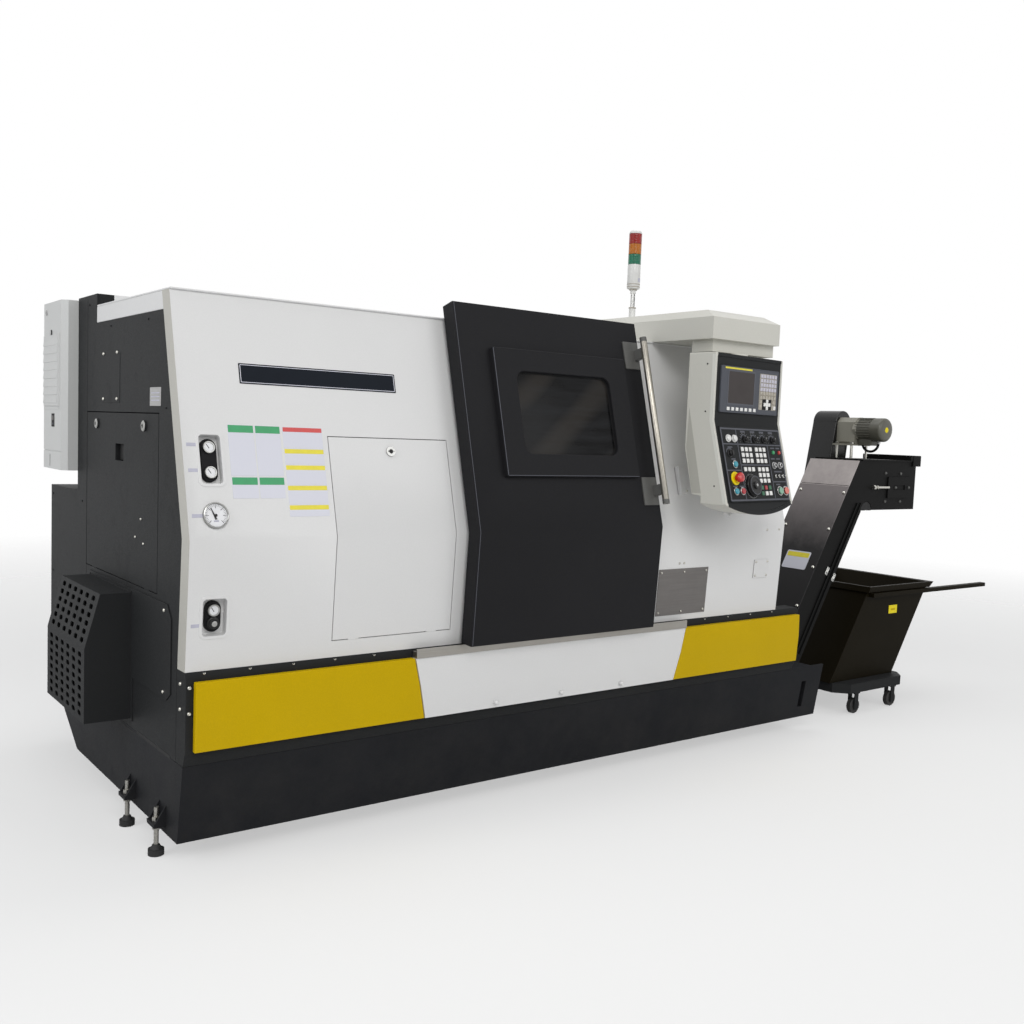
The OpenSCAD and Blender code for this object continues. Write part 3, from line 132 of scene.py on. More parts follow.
class Paint:
    """One material and the nodes that make it."""

    def __init__(self, name):
        self.mat = bpy.data.materials.new(name)
        self.mat.use_nodes = True
        self.tree = self.mat.node_tree
        self.tree.nodes.clear()
        self.out = self.tree.nodes.new("ShaderNodeOutputMaterial")
        self.surface = self.tree.nodes.new("ShaderNodeBsdfPrincipled")
        self.tree.links.new(self.surface.outputs[0], self.out.inputs[0])
        self._place = None

    def node(self, kind, settings=None, inputs=None, out=0):
        n = self.tree.nodes.new(kind)
        for key, value in (settings or {}).items():
            setattr(n, key, value)
        for key, value in (inputs or {}).items():
            self.feed(n.inputs[key], value)
        return Sock(self, n.outputs[out])

    def feed(self, socket, value):
        if isinstance(value, Sock):
            self.tree.links.new(value.out, socket)
        elif hasattr(socket.default_value, "__len__") and len(socket.default_value) == 4 and len(value) == 3:
            socket.default_value = (*value, 1.0)
        else:
            socket.default_value = value

    def place(self):
        if self._place is None:
            self._place = self.node("ShaderNodeTexCoord", out="Object")
        return self._place

    def stretch(self, scale):
        return self.node("ShaderNodeMapping", None, {"Vector": self.place(), "Scale": scale})

    def noise(self, scale, detail=2.0, rough=0.55, where=None):
        return self.node("ShaderNodeTexNoise", None, {"Vector": where or self.place(), "Scale": scale,
                                                      "Detail": detail, "Roughness": rough})

    def along(self, axis):
        return self.node("ShaderNodeSeparateXYZ", None, {0: self.place()}, out=axis)

    def mix(self, fac, a, b):
        """Colour between a and b."""
        return self.node("ShaderNodeMix", {"data_type": "RGBA"}, {0: fac, 6: a, 7: b}, out=2)

    def band(self, value, low, high):
        """0 to 1 as the value goes from low to high."""
        return self.node("ShaderNodeMapRange", None, {"Value": value, "From Min": low, "From Max": high})

    def bump(self, height, strength, distance):
        return self.node("ShaderNodeBump", None,
                         {"Height": height, "Strength": strength, "Distance": distance})

    def set(self, **sockets):
        for key, value in sockets.items():
            self.feed(self.surface.inputs[key.replace("_", " ").title().replace("Ior", "IOR")], value)
        return self.mat


def dim(c, k):
    return tuple(max(0.0, min(1.0, x * k)) for x in c)


def powder_coat(name, colour, rough, grain, mottle=0.05, dust=0.0, shine=0.5):
    """Baked powder coat: orange peel, faint mottling and handling marks."""
    p = Paint(name)
    peel = p.noise(620.0, 2.0)
    cloud = p.noise(2.2, 4.0, 0.6)
    marks = p.band(p.noise(9.0, 5.0, 0.7), 0.55, 0.8)
    tone = p.mix(p.band(cloud, 0.3, 0.7), dim(colour, 1 - mottle), dim(colour, 1 + mottle))
    speck = p.band(p.noise(260.0, 1.0), 0.42, 0.62)
    tone = p.mix(speck * grain, tone, dim(colour, 1.55))
    if dust:
        low = p.band(p.along(2), 0.75, 0.02)
        tone = p.mix(low * p.band(p.noise(5.0, 5.0, 0.7), 0.35, 0.7) * dust, tone, lin(120, 116, 108))
    return p.set(base_color=tone, roughness=rough + marks * 0.08 - speck * 0.05,
                 normal=p.bump(peel, 0.12 + grain * 0.3, 0.0008), ior=1.48, specular_ior_level=shine)


def brushed(name, colour, rough, stretch, grain=0.1):
    """Sheet or bar metal with a drawn grain and cloudy handling marks; on the handle bar the strong grain is
    also painted reflection.
    """
    p = Paint(name)
    streak = p.noise(1.0, 4.0, 0.6, p.stretch(stretch))
    cloud = p.band(p.noise(7.0, 4.0, 0.65), 0.3, 0.72)
    tone = p.mix(p.band(streak, 0.25, 0.75), dim(colour, 1 - grain), dim(colour, 1 + grain))
    tone = p.mix(cloud * 0.35, tone, dim(colour, 0.72))
    return p.set(base_color=tone, metallic=1.0, roughness=rough + cloud * 0.12,
                 normal=p.bump(streak, 0.08, 0.0005))


def moulded(name, colour, rough, coat=0.0, shine=0.5):
    """Moulded plastic with a fine spark texture."""
    p = Paint(name)
    spark = p.noise(1500.0, 1.0)
    haze = p.noise(30.0, 3.0)
    tone = p.mix(p.band(haze, 0.3, 0.7), dim(colour, 0.94), dim(colour, 1.06))
    return p.set(base_color=tone, roughness=rough + p.band(haze, 0.3, 0.7) * 0.08,
                 normal=p.bump(spark, 0.08, 0.0004), coat_weight=coat, specular_ior_level=shine)


def lens(name, colour):
    """Ribbed lamp lens of clear coloured plastic."""
    p = Paint(name)
    rib = p.node("ShaderNodeTexWave", {"wave_type": "BANDS", "bands_direction": "Z"},
                 {"Vector": p.place(), "Scale": 90.0})
    tone = p.mix(rib, dim(colour, 0.7), dim(colour, 1.15))
    return p.set(base_color=tone, roughness=0.18 + rib * 0.1, transmission_weight=0.35,
                 normal=p.bump(rib, 0.25, 0.001), ior=1.49)


def window_pane(name):
    """Laminated safety pane, smoked, with faint painted slanting reflections and wipe marks lightened by a
    painted floor reflection.
    """
    p = Paint(name)
    wipe_and_reflection = p.band(p.noise(1.0, 3.0, 0.6, p.stretch((3.0, 14.0, 26.0))), 0.4, 0.75)
    # painted reflection: slanting lighter bands in the pane's colour
    painted_reflection = p.node("ShaderNodeTexWave", {"wave_type": "BANDS", "bands_direction": "DIAGONAL"},
                   {"Vector": p.stretch((-1.0, 1.0, 1.0)), "Scale": 1.7, "Distortion": 2.0,
                    "Detail": 2.0}, out=1)
    tone = p.mix(p.band(painted_reflection, 0.45, 0.95), lin(20, 20, 21), lin(46, 43, 40))
    # wipe marks, lightened towards a painted floor reflection
    tone = p.mix(wipe_and_reflection * 0.25, tone, lin(60, 62, 66))
    return p.set(base_color=tone, roughness=0.12 + wipe_and_reflection * 0.08, transmission_weight=0.12, ior=1.45,
                 specular_ior_level=0.05)


def screen_glass(name):
    """Display glass, dark when off."""
    p = Paint(name)
    haze = p.noise(12.0, 3.0)
    tone = p.mix(p.band(haze, 0.3, 0.7), lin(54, 48, 47), lin(62, 56, 55))
    return p.set(base_color=tone, roughness=0.3 + haze * 0.08, specular_ior_level=0.2)


def cover_steel(name):
    """Dark sheet of the conveyor: painted light makes its upper part paler, bare metal above the joint."""
    p = Paint(name)
    z = p.along(2)
    cloud = p.band(p.noise(11.0, 4.0, 0.65), 0.3, 0.7)
    # painted light: the dark sheet turns paler towards its top
    tone = p.mix(p.band(z + cloud * 0.06, 0.9, 1.2), lin(38, 37, 38), lin(126, 120, 120))
    tone = p.mix(z > 1.208, tone, p.mix(cloud, lin(158, 151, 150), lin(182, 175, 173)))
    return p.set(base_color=tone, metallic=0.3, roughness=0.46 + cloud * 0.1, specular_ior_level=0.3,
                 normal=p.bump(p.noise(420.0, 2.0), 0.1, 0.0006))


def casting(name, colour):
    """Scraped and ground iron casting."""
    p = Paint(name)
    scrape = p.node("ShaderNodeTexVoronoi", {"feature": "F1"},
                    {"Vector": p.stretch((60.0, 60.0, 90.0)), "Scale": 1.0})
    cloud = p.noise(4.0, 4.0, 0.6)
    tone = p.mix(p.band(cloud, 0.3, 0.7), dim(colour, 0.8), dim(colour, 1.15))
    return p.set(base_color=tone, metallic=0.85, roughness=0.32 + p.band(scrape, 0.0, 0.8) * 0.2,
                 normal=p.bump(scrape, 0.1, 0.001))


def foot_zinc(name):
    """Zinc-plated bolts that stand in black rubber-faced pads."""
    p = Paint(name)
    pad = p.along(2) < 0.0345
    scale = p.band(p.noise(160.0, 3.0), 0.3, 0.7)
    tone = p.mix(pad, p.mix(scale, lin(150, 148, 142), lin(190, 188, 182)), lin(34, 34, 35))
    return p.set(base_color=tone, metallic=1 - pad, roughness=0.34 + pad * 0.3 + scale * 0.1,
                 normal=p.bump(scale, 0.1, 0.0006))


def wheel_rubber(name):
    """Caster tread with scuffed edges."""
    p = Paint(name)
    scuff = p.band(p.noise(40.0, 4.0, 0.7), 0.4, 0.75)
    tone = p.mix(scuff, lin(30, 30, 30), lin(66, 64, 62))
    return p.set(base_color=tone, roughness=0.6 + scuff * 0.2, normal=p.bump(scuff, 0.15, 0.0008))


FINISHES = {}


def recipes():
    """What each kind of finish is given after its name."""
    c = bpy.context.scene.lathe_colours
    return {
        powder_coat: {
            "cover_white": (tuple(c.cover), 0.4, 0.06, 0.012),
            "cooler_white": (lin(204, 205, 204), 0.4, 0.05, 0.012),
            "pendant_white": (tuple(c.pendant), 0.42, 0.05, 0.015),
            "black_coat": (tuple(c.coat), 0.55, 0.2, 0.08, 0.02, 0.07),
            "plinth_black": (lin(33, 34, 37), 0.55, 0.2, 0.08, 0.06, 0.07),
            "bin_black": (lin(22, 18, 8), 0.5, 0.2, 0.12, 0.02, 0.05),
            "door_black": (lin(33, 33, 35), 0.55, 0.14, 0.06, 0.0, 0.09),
            "conveyor_black": (lin(21, 21, 21), 0.5, 0.2, 0.1, 0.04, 0.07),
            "band_yellow": (tuple(c.band), 0.42, 0.1, 0.04, 0.03, 0.1),
            "motor_olive": (lin(86, 85, 76), 0.36, 0.1, 0.08),
            "gear_olive": (lin(142, 140, 129), 0.4, 0.1, 0.06),
            "guard_black": (lin(13, 13, 14), 0.27, 0.1, 0.06, 0.0, 0.42),
            # white of the covers darkened as painted shade on their left-facing return
            "side_cream": (lin(188, 186, 178), 0.42, 0.05, 0.015),
            "pendant_edge": (lin(222, 222, 215), 0.4, 0.05, 0.012),
            "pendant_shade": (lin(180, 179, 171), 0.45, 0.05, 0.015),
            "bracket_grey": (lin(92, 92, 90), 0.45, 0.12, 0.05, 0.0, 0.3),
            "field_pale": (lin(220, 221, 232), 0.4, 0.02, 0.008),
        },
        brushed: {
            "plate_stainless": (tuple(c.steel), 0.36, (5.0, 5.0, 160.0)),
            "sill_stainless": (lin(160, 157, 151), 0.34, (3.0, 220.0, 220.0)),
            "liner_stainless": (lin(150, 150, 150), 0.42, (90.0, 6.0, 6.0)),
            "bright_steel": (lin(196, 196, 194), 0.22, (260.0, 40.0, 40.0)),
            # the handle bar's strong lengthwise streaks are drawn grain and painted reflection
            "bar_aluminium": (lin(160, 156, 147), 0.3, (320.0, 320.0, 6.0), 0.3),
            "chrome": (lin(168, 168, 166), 0.2, (60.0, 60.0, 60.0), 0.04),
            "screw_zinc": (lin(205, 203, 196), 0.24, (500.0, 500.0, 500.0)),
            "plate_grey": (lin(170, 170, 170), 0.4, (200.0, 8.0, 200.0)),
        },
        cover_steel: {
            "cover_metal": (),
        },
        casting: {
            "casting_grey": (lin(128, 131, 132),),
        },
        foot_zinc: {
            "foot_zinc": (),
        },
        wheel_rubber: {
            "wheel_rubber": (),
        },
        moulded: {
            "gasket": (lin(18, 18, 19), 0.6, 0.0, 0.2),
            "fascia_black": (lin(42, 43, 44), 0.6, 0.0, 0.1),
            "panel_black": (lin(26, 26, 28), 0.55, 0.0, 0.12),
            "line_grey": (lin(86, 88, 96), 0.5, 0.0, 0.3),
            "bezel_grey": (lin(76, 79, 87), 0.5, 0.0, 0.3),
            "key_white": (lin(248, 248, 246), 0.35),
            "keypad_grey": (lin(170, 164, 152), 0.45),
            "key_lilac": (lin(206, 204, 216), 0.4),
            "key_beige": (lin(184, 178, 166), 0.42),
            "knob_black": (lin(17, 17, 18), 0.38, 0.1, 0.3),
            "tick_white": (lin(200, 200, 200), 0.5),
            "teal": (lin(30, 150, 170), 0.25, 0.4),
            "red": (lin(200, 36, 34), 0.28, 0.4),
            "dark_red": (lin(170, 24, 40), 0.28, 0.3),
            "stop_yellow": (lin(248, 226, 8), 0.4, 0.0, 0.3),
            "start_green": (lin(128, 178, 152), 0.3, 0.4),
            "stop_salmon": (lin(224, 112, 98), 0.3, 0.4),
            "key_green": (lin(38, 100, 70), 0.35),
            "lamp_clear": (lin(228, 228, 226), 0.2, 0.6),
            "collar_grey": (lin(176, 170, 160), 0.4),
            "tower_white": (lin(222, 222, 220), 0.35, 0.2),
            "field_green": (lin(62, 158, 104), 0.4),
            "field_yellow": (lin(236, 222, 66), 0.4),
            "field_rule": (lin(190, 190, 205), 0.5),
            "name_black": (lin(30, 34, 41), 0.5, 0.0, 0.06),
            "dial_white": (lin(232, 233, 236), 0.3, 0.6),
            "dark_hole": (lin(12, 12, 13), 0.7),
        },
        lens: {
            "lens_red": (lin(176, 30, 24),),
            "lens_amber": (lin(214, 128, 22),),
            "lens_green": (lin(26, 132, 100),),
        },
        window_pane: {
            "window_pane": (),
        },
        screen_glass: {
            "screen_glass": (),
        },
    }


def finish(name):
    """The named finish, made the first time it is asked for."""
    if name not in FINISHES:
        make, given = next((make, rows[name]) for make, rows in recipes().items() if name in rows)
        FINISHES[name] = make(name, *given)
    return FINISHES[name]


# Places on the machine

class Spot:
    """A flat place on the machine: u across, v up and n out of the surface, in millimetres."""

    def __init__(self, origin, u, v):
        self.o = Vector(origin)
        self.u = Vector(u).normalized()
        self.v = Vector(v).normalized()
        self.n = self.u.cross(self.v)

    def at(self, u, v, n=0.0):
        return (self.o + self.u * u + self.v * v + self.n * n - ORIGIN) / 1000.0

    def rings(self, *levels):
        """Rings of points from pairs of (outline, height)."""
        return [[self.at(u, v, n) for u, v in outline] for outline, n in levels]


# Front of the covers from the side, as (depth, height): foot, fold and top.
LOW = Vector((-10.0, 641.0))
FOLD = Vector((-35.0, 1055.0))
TOP = Vector((177.0, 1835.0))
UP_DIR = (TOP - FOLD).normalized()
LO_DIR = (FOLD - LOW).normalized()


def fold_at(off):
    """Depth and height of the covers' fold on a skin at this offset, outwards negative."""
    n1 = Vector((LO_DIR.y, -LO_DIR.x))
    n2 = Vector((UP_DIR.y, -UP_DIR.x))
    return FOLD + (n1 + n2) * (off / (1 + n1.dot(n2)))


def upper(off=0.0):
    f = fold_at(off)
    return Spot((0, f.x, f.y), (1, 0, 0), (0, UP_DIR.x, UP_DIR.y))


def lower(off=0.0):
    f = fold_at(off)
    return Spot((0, f.x, f.y), (1, 0, 0), (0, LO_DIR.x, LO_DIR.y))


def up_v(z, off=0.0):
    """Distance up the upper slope of a height."""
    return (z - fold_at(off).y) / UP_DIR.y


def lo_v(z, off=0.0):
    return (z - fold_at(off).y) / LO_DIR.y


# Offset of the door's skin from the covers, the cooler's face and the frame of its louvres.
DOOR = -84.0
COOLER_FACE, LOUVRE_FRAME = -60.0, 4.0


def front_at(x, y, z):
    """An upright place that looks to the front."""
    return Spot((x, y, z), (1, 0, 0), (0, 0, 1))


def left_at(x):
    """An upright place that looks to the left, with depth from the front edge as -u."""
    return Spot((x, 0, 0), (0, -1, 0), (0, 0, 1))


LEFT = left_at(0)
APRON = front_at(0, -20, 0)
# Pendant: turned about its pivot, upright over the key panel's top edge and tilted below it.
TURN = math.radians(7.5)
PEND_U = (math.cos(TURN), math.sin(TURN), 0)
PEND_N = Vector((math.sin(TURN), -math.cos(TURN), 0))
PIVOT = Vector((2310, -142, 0))
PANEL_REACH, PANEL_DROP, PANEL_Z = 88.0, 342.0, 1507.0
TILT = math.atan(PANEL_REACH / PANEL_DROP)
BEND = PIVOT + Vector((0, 0, PANEL_Z))
FACE_OUT, RIM_OUT, PLATE_OUT, PLATE_SHORT = 68, 70, 6, 42
FACE_UP = Spot(BEND + PEND_N * FACE_OUT, PEND_U, (0, 0, 1))
PANEL = Spot(BEND + PEND_N * RIM_OUT, PEND_U, Vector((0, 0, math.cos(TILT))) - PEND_N * math.sin(TILT))
PANEL.o = PANEL.o + PANEL.n * PLATE_OUT
PANEL_W, PANEL_EDGE, PENDANT_HALF = 446.0, 20.0, 252.0
PANEL_H = math.hypot(PANEL_REACH, PANEL_DROP) - PLATE_SHORT
PENDANT_SIDE = Spot(PIVOT - Vector(PEND_U) * PENDANT_HALF, PEND_N, (0, 0, 1))


def panel(s, t):
    """Place on the key panel from shares of its width and length."""
    return (s - 0.5) * PANEL_W, -PANEL_EDGE - t * PANEL_H


# Controls on the key panel, as shares of its width and length.
CONTROL = {"estop": (0.123, 0.716), "hand": (0.383, 0.82), "mode": (0.37, 0.189), "feed": (0.533, 0.189),
           "rapid": (0.686, 0.189), "speed": (0.844, 0.189), "start": (0.85, 0.893), "stop": (0.948, 0.893)}
SWITCHES = ("mode", "feed", "rapid", "speed")

# Conveyor: the cover of its sloping run and its upright front side.
RISE = math.radians(60)
SLOPE = (math.cos(RISE), 0, math.sin(RISE))
RUN = Spot((3156.0, 525, 337), (0, -1, 0), SLOPE)
CONV_FRONT = 220
CONV = front_at(0, CONV_FRONT, 0)


# Mesh building

SHARP, BEVEL_FROM, FLAT = math.radians(34), math.radians(33), math.radians(0.6)
TINY, SAME_POINT = 0.02, 2e-6
CORNERS = ((1, 1), (-1, 1), (-1, -1), (1, -1))


def circle(seg):
    """Cosine and sine at each step round a circle."""
    turn = [2 * math.pi * i / seg for i in range(seg)]
    return [(math.cos(a), math.sin(a)) for a in turn]


def skin(bm, rings, caps=True):
    """Faces between rings of equal count, with or without end faces."""
    rows = [[bm.verts.new(q) for q in ring] for ring in rings]
    made = []
    for a, b in zip(rows, rows[1:]):
        for i in range(len(a)):
            j = (i + 1) % len(a)
            made.append(bm.faces.new((a[i], a[j], b[j], b[i])))
    if caps:
        made.append(bm.faces.new(list(reversed(rows[0]))))
        made.append(bm.faces.new(rows[-1]))
    return made


def rounded(w, h, r, cu=0.0, cv=0.0, steps=5):
    """Outline of a rectangle with round corners."""
    r = min(r, w / 2 - 0.01, h / 2 - 0.01)
    loop = []
    for k, (sx, sy) in enumerate(CORNERS):
        for i in range(steps + 1):
            a = math.pi / 2 * (k + i / steps)
            loop.append((cu + sx * (w / 2 - r) + r * math.cos(a), cv + sy * (h / 2 - r) + r * math.sin(a)))
    return loop


class Form:
    """Collects the faces of one piece, with a finish for each part of it."""

    def __init__(self, name):
        self.name = name
        self.bm = bmesh.new()
        self.mats = []

    def slot(self, name):
        m = finish(name)
        if m not in self.mats:
            self.mats.append(m)
        return self.mats.index(m)

    def loft(self, rings, name, caps=True):
        """Skin over rings of points in one finish."""
        k = self.slot(name)
        for face in skin(self.bm, rings, caps):
            face.material_index = k

    def plate(self, spot, w, h, cu, cv, n0, n1, name, r=2.0, c=0.6):
        """Flat plate with round corners and a broken front edge."""
        wide = rounded(w, h, r, cu, cv)
        near = rounded(w - 2 * c, h - 2 * c, max(r - c, 0.05), cu, cv)
        self.loft(spot.rings((wide, n0), (wide, n1 - c), (near, n1)), name)

    def ring_plate(self, spot, outer, inner, n0, n1, name, c=0.6):
        """Flat frame between two outlines (w, h, r, cu, cv)."""
        def grown(box, by):
            w, h, r, cu, cv = box
            return rounded(w + 2 * by, h + 2 * by, r + by, cu, cv)

        wide, hole = rounded(*outer), rounded(*inner)
        rings = spot.rings((wide, n0), (wide, n1 - c), (grown(outer, -c), n1), (grown(inner, c), n1),
                           (hole, n1 - c), (hole, n0), (wide, n0))
        self.loft(rings, name, caps=False)

    def turned(self, spot, u, v, profile, name, seg=32):
        """Turned shape about the normal at (u, v), from a list of (radius, height).

        A profile that ends off the axis makes a ring."""
        rings = [[spot.at(u + max(r, TINY) * x, v + max(r, TINY) * y, n) for x, y in circle(seg)]
                 for r, n in profile]
        if profile[-1][0] > 0:
            self.loft(rings + rings[:1], name, caps=False)
        else:
            self.loft(rings, name)

    def prism(self, spot, outline, n0, n1, name):
        self.loft(spot.rings((outline, n0), (outline, n1)), name)

    def arc(self, spot, u, v, r0, r1, a0, a1, n0, n1, name, steps=16):
        """Flat part of a ring, from angle a0 to a1 in degrees."""
        turn = [math.radians(a0 + (a1 - a0) * i / steps) for i in range(steps + 1)]
        outline = [(u + r1 * math.cos(a), v + r1 * math.sin(a)) for a in turn]
        outline += [(u + r0 * math.cos(a), v + r0 * math.sin(a)) for a in reversed(turn)]
        self.prism(spot, outline, n0, n1, name)

    def tube(self, points, radius, name, seg=10):
        """Round tube through machine points in millimetres."""
        pts = [(Vector(p) - ORIGIN) / 1000 for p in points]
        rings = []
        side = None
        for i, p in enumerate(pts):
            d = (pts[min(i + 1, len(pts) - 1)] - pts[max(i - 1, 0)]).normalized()
            if side is None:
                side = d.orthogonal().normalized()
            side = (side - d * side.dot(d)).normalized()
            other = d.cross(side)
            rings.append([p + (side * x + other * y) * radius / 1000 for x, y in circle(seg)])
        self.loft(rings, name)

    def done(self, body, replaced=()):
        """Makes the object, turns its faces outwards and lets it ride on a body."""
        bm = self.bm
        bmesh.ops.remove_doubles(bm, verts=bm.verts, dist=1e-7)
        bmesh.ops.recalc_face_normals(bm, faces=bm.faces)
        mesh = bpy.data.meshes.new(self.name)
        bm.to_mesh(mesh)
        bm.free()
        for m in self.mats:
            mesh.materials.append(m)
        mesh.polygons.foreach_set("use_smooth", [True] * len(mesh.polygons))
        mesh.set_sharp_from_angle(angle=SHARP)
        obj = bpy.data.objects.new(self.name, mesh)
        bpy.context.scene.collection.objects.link(obj)
        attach(obj, body)
        if replaced:
            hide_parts(*replaced)


def plain_mesh(obj):
    """The object's evaluated mesh, with its modifiers in it and taken off."""
    dg = bpy.context.evaluated_depsgraph_get()
    dg.update()
    mesh = bpy.data.meshes.new_from_object(obj.evaluated_get(dg))
    old = obj.data
    obj.modifiers.clear()
    obj.data = mesh
    if old.users == 0:
        bpy.data.meshes.remove(old)
    return mesh


BODY_OF = {n: b for b, ns in frame["record"]["behaviour"]["bodies"].items() for n in ns}


def dress(node, name, width=1.0, segments=2):
    """A copy of a CAD node with folded edges and a finish, in the node's place."""
    src = frame["nodes"][node]
    bm = bmesh.new()
    bm.from_mesh(src.data)
    bmesh.ops.remove_doubles(bm, verts=bm.verts, dist=SAME_POINT)
    bmesh.ops.dissolve_limit(bm, angle_limit=FLAT, verts=bm.verts, edges=bm.edges)
    mesh = bpy.data.meshes.new(node + "_skin")
    bm.to_mesh(mesh)
    bm.free()
    obj = bpy.data.objects.new(node + "_skin", mesh)
    bpy.context.scene.collection.objects.link(obj)
    mod = obj.modifiers.new("edge", "BEVEL")
    mod.width = bpy.context.scene.lathe_sizes.edge * width
    mod.segments = segments
    mod.limit_method = "ANGLE"
    mod.angle_limit = BEVEL_FROM
    mod.use_clamp_overlap = True
    mod.harden_normals = False
    keep = obj.modifiers.new("flat", "WEIGHTED_NORMAL")
    keep.keep_sharp = True
    keep.weight = 80
    mesh.polygons.foreach_set("use_smooth", [True] * len(mesh.polygons))
    mesh = plain_mesh(obj)
    mesh.materials.clear()
    mesh.materials.append(finish(name))
    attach(obj, BODY_OF[node])
    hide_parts(node)
    return obj


def coat(node, name):
    """Puts a finish on a CAD node that keeps its own shape."""
    obj = frame["nodes"][node]
    obj.data.materials.clear()
    obj.data.materials.append(finish(name))


# Geometry Nodes

REPEAT = "repeat_on_points"


def repeat_tree():
    """Sets one small piece on every point, turned to the point's own directions."""
    tree = bpy.data.node_groups.new(REPEAT, "GeometryNodeTree")
    tree.is_modifier = True
    face = tree.interface
    face.new_socket(name="Points", in_out="INPUT", socket_type="NodeSocketGeometry")
    face.new_socket(name="Piece", in_out="INPUT", socket_type="NodeSocketObject")
    face.new_socket(name="Size", in_out="INPUT", socket_type="NodeSocketFloat")
    face.new_socket(name="Finish", in_out="INPUT", socket_type="NodeSocketMaterial")
    face.new_socket(name="Pieces", in_out="OUTPUT", socket_type="NodeSocketGeometry")
    new, link = tree.nodes.new, tree.links.new
    start, end = new("NodeGroupInput"), new("NodeGroupOutput")
    info = new("GeometryNodeObjectInfo")
    out_dir, side_dir = new("GeometryNodeInputNamedAttribute"), new("GeometryNodeInputNamedAttribute")
    for n, attr in ((out_dir, "facing"), (side_dir, "across")):
        n.data_type = "FLOAT_VECTOR"
        n.inputs["Name"].default_value = attr
    stand, turn = new("FunctionNodeAlignRotationToVector"), new("FunctionNodeAlignRotationToVector")
    stand.axis = "Z"
    turn.axis = "X"
    turn.pivot_axis = "Z"
    put = new("GeometryNodeInstanceOnPoints")
    real, paint = new("GeometryNodeRealizeInstances"), new("GeometryNodeSetMaterial")
    link(start.outputs["Piece"], info.inputs["Object"])
    link(out_dir.outputs["Attribute"], stand.inputs["Vector"])
    link(stand.outputs["Rotation"], turn.inputs["Rotation"])
    link(side_dir.outputs["Attribute"], turn.inputs["Vector"])
    link(start.outputs["Points"], put.inputs["Points"])
    link(info.outputs["Geometry"], put.inputs["Instance"])
    link(turn.outputs["Rotation"], put.inputs["Rotation"])
    link(start.outputs["Size"], put.inputs["Scale"])
    link(put.outputs["Instances"], real.inputs["Geometry"])
    link(real.outputs["Geometry"], paint.inputs["Geometry"])
    link(start.outputs["Finish"], paint.inputs["Material"])
    link(paint.outputs["Geometry"], end.inputs["Pieces"])
    return tree


def grow(name, piece, size, rows, body, mat):
    """Sets a stock shape at each row of (place, facing, across), as one plain piece."""
    tree = bpy.data.node_groups.get(REPEAT) or repeat_tree()
    values = {"Piece": stock(piece), "Size": size, "Finish": finish(mat)}
    obj = bpy.data.objects.new(name, points_mesh(name, rows))
    bpy.context.scene.collection.objects.link(obj)
    mod = obj.modifiers.new("grow", "NODES")
    mod.node_group = tree
    for item in tree.interface.items_tree:
        if item.in_out == "INPUT" and item.name in values:
            mod[item.identifier] = values[item.name]
    mesh = plain_mesh(obj)
    mesh.polygons.foreach_set("use_smooth", [True] * len(mesh.polygons))
    mesh.set_sharp_from_angle(angle=SHARP)
    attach(obj, body)


def points_mesh(name, rows):
    """Points with their outward and sideways directions: rows of (place, facing, across)."""
    mesh = bpy.data.meshes.new(name)
    mesh.from_pydata([tuple(r[0]) for r in rows], [], [])
    for k, attr in ((1, "facing"), (2, "across")):
        a = mesh.attributes.new(attr, "FLOAT_VECTOR", "POINT")
        a.data.foreach_set("vector", [x for r in rows for x in r[k]])
    return mesh


STOCK = {}
ROUND_STOCK = {
    "screw": [(0.5, -0.04), (0.5, 0.1), (0.46, 0.26), (0.34, 0.38), (0.22, 0.36), (0.2, 0.2), (0.002, 0.2)],
    "dome": [(0.5, -0.04), (0.5, 0.0), (0.47, 0.16), (0.38, 0.31), (0.22, 0.4), (0.002, 0.42)],
}
SQUARE_STOCK = {
    "key": [(0.5, 0.5, -0.02), (0.5, 0.5, 0.16), (0.4, 0.4, 0.26)],
    "wide_key": [(0.5, 0.4, -0.02), (0.5, 0.4, 0.12), (0.42, 0.32, 0.2)],
    "tick": [(0.07, 0.5, -0.02), (0.07, 0.5, 0.04), (0.05, 0.48, 0.06)],
    "fin": [(0.0018, 0.045, -0.004), (0.0016, 0.045, 0.0026), (0.0008, 0.044, 0.0032)],
}


def stock(name):
    """Small shapes that are set many times, standing on Z; all but the fin are one metre across."""
    if name not in STOCK:
        if name in ROUND_STOCK:
            rings = [[(r * x, r * y, z) for x, y in circle(12)] for r, z in ROUND_STOCK[name]]
        else:
            rings = [[(sx * x, sy * y, z) for sx, sy in CORNERS] for x, y, z in SQUARE_STOCK[name]]
        bm = bmesh.new()
        skin(bm, rings)
        bmesh.ops.recalc_face_normals(bm, faces=bm.faces)
        mesh = bpy.data.meshes.new("stock_" + name)
        bm.to_mesh(mesh)
        bm.free()
        STOCK[name] = bpy.data.objects.new("stock_" + name, mesh)
    return STOCK[name]


def scatter(name, piece, size, rows, body, mat):
    """Sets a stock shape at each row of (spot, u, v, n)."""
    grow(name, piece, size, [(s.at(u, v, n), s.n, s.u) for s, u, v, n in rows], body, mat)


def ticks(name, marks, size, body, mat):
    """Tick marks round dials: rows of (spot, u, v, n, radius, count, first angle, sweep)."""
    rows = []
    for spot, u, v, n, r, count, first, sweep in marks:
        for i in range(count):
            a = math.radians(first + sweep * i / max(count - 1, 1))
            out = spot.u * math.cos(a) + spot.v * math.sin(a)
            place = spot.at(u + r * math.cos(a), v + r * math.sin(a), n)
            rows.append((place, spot.n, out.cross(spot.n) * -1))
    grow(name, "tick", size, rows, body, mat)


# Operators

FLOOR_RADIUS, FLOOR_Z = 12.0, -0.002
CAMERA_AT = Vector((-1149, -3178, 1422))
CAMERA_TURN = (37.11, -4.57, -2.23)
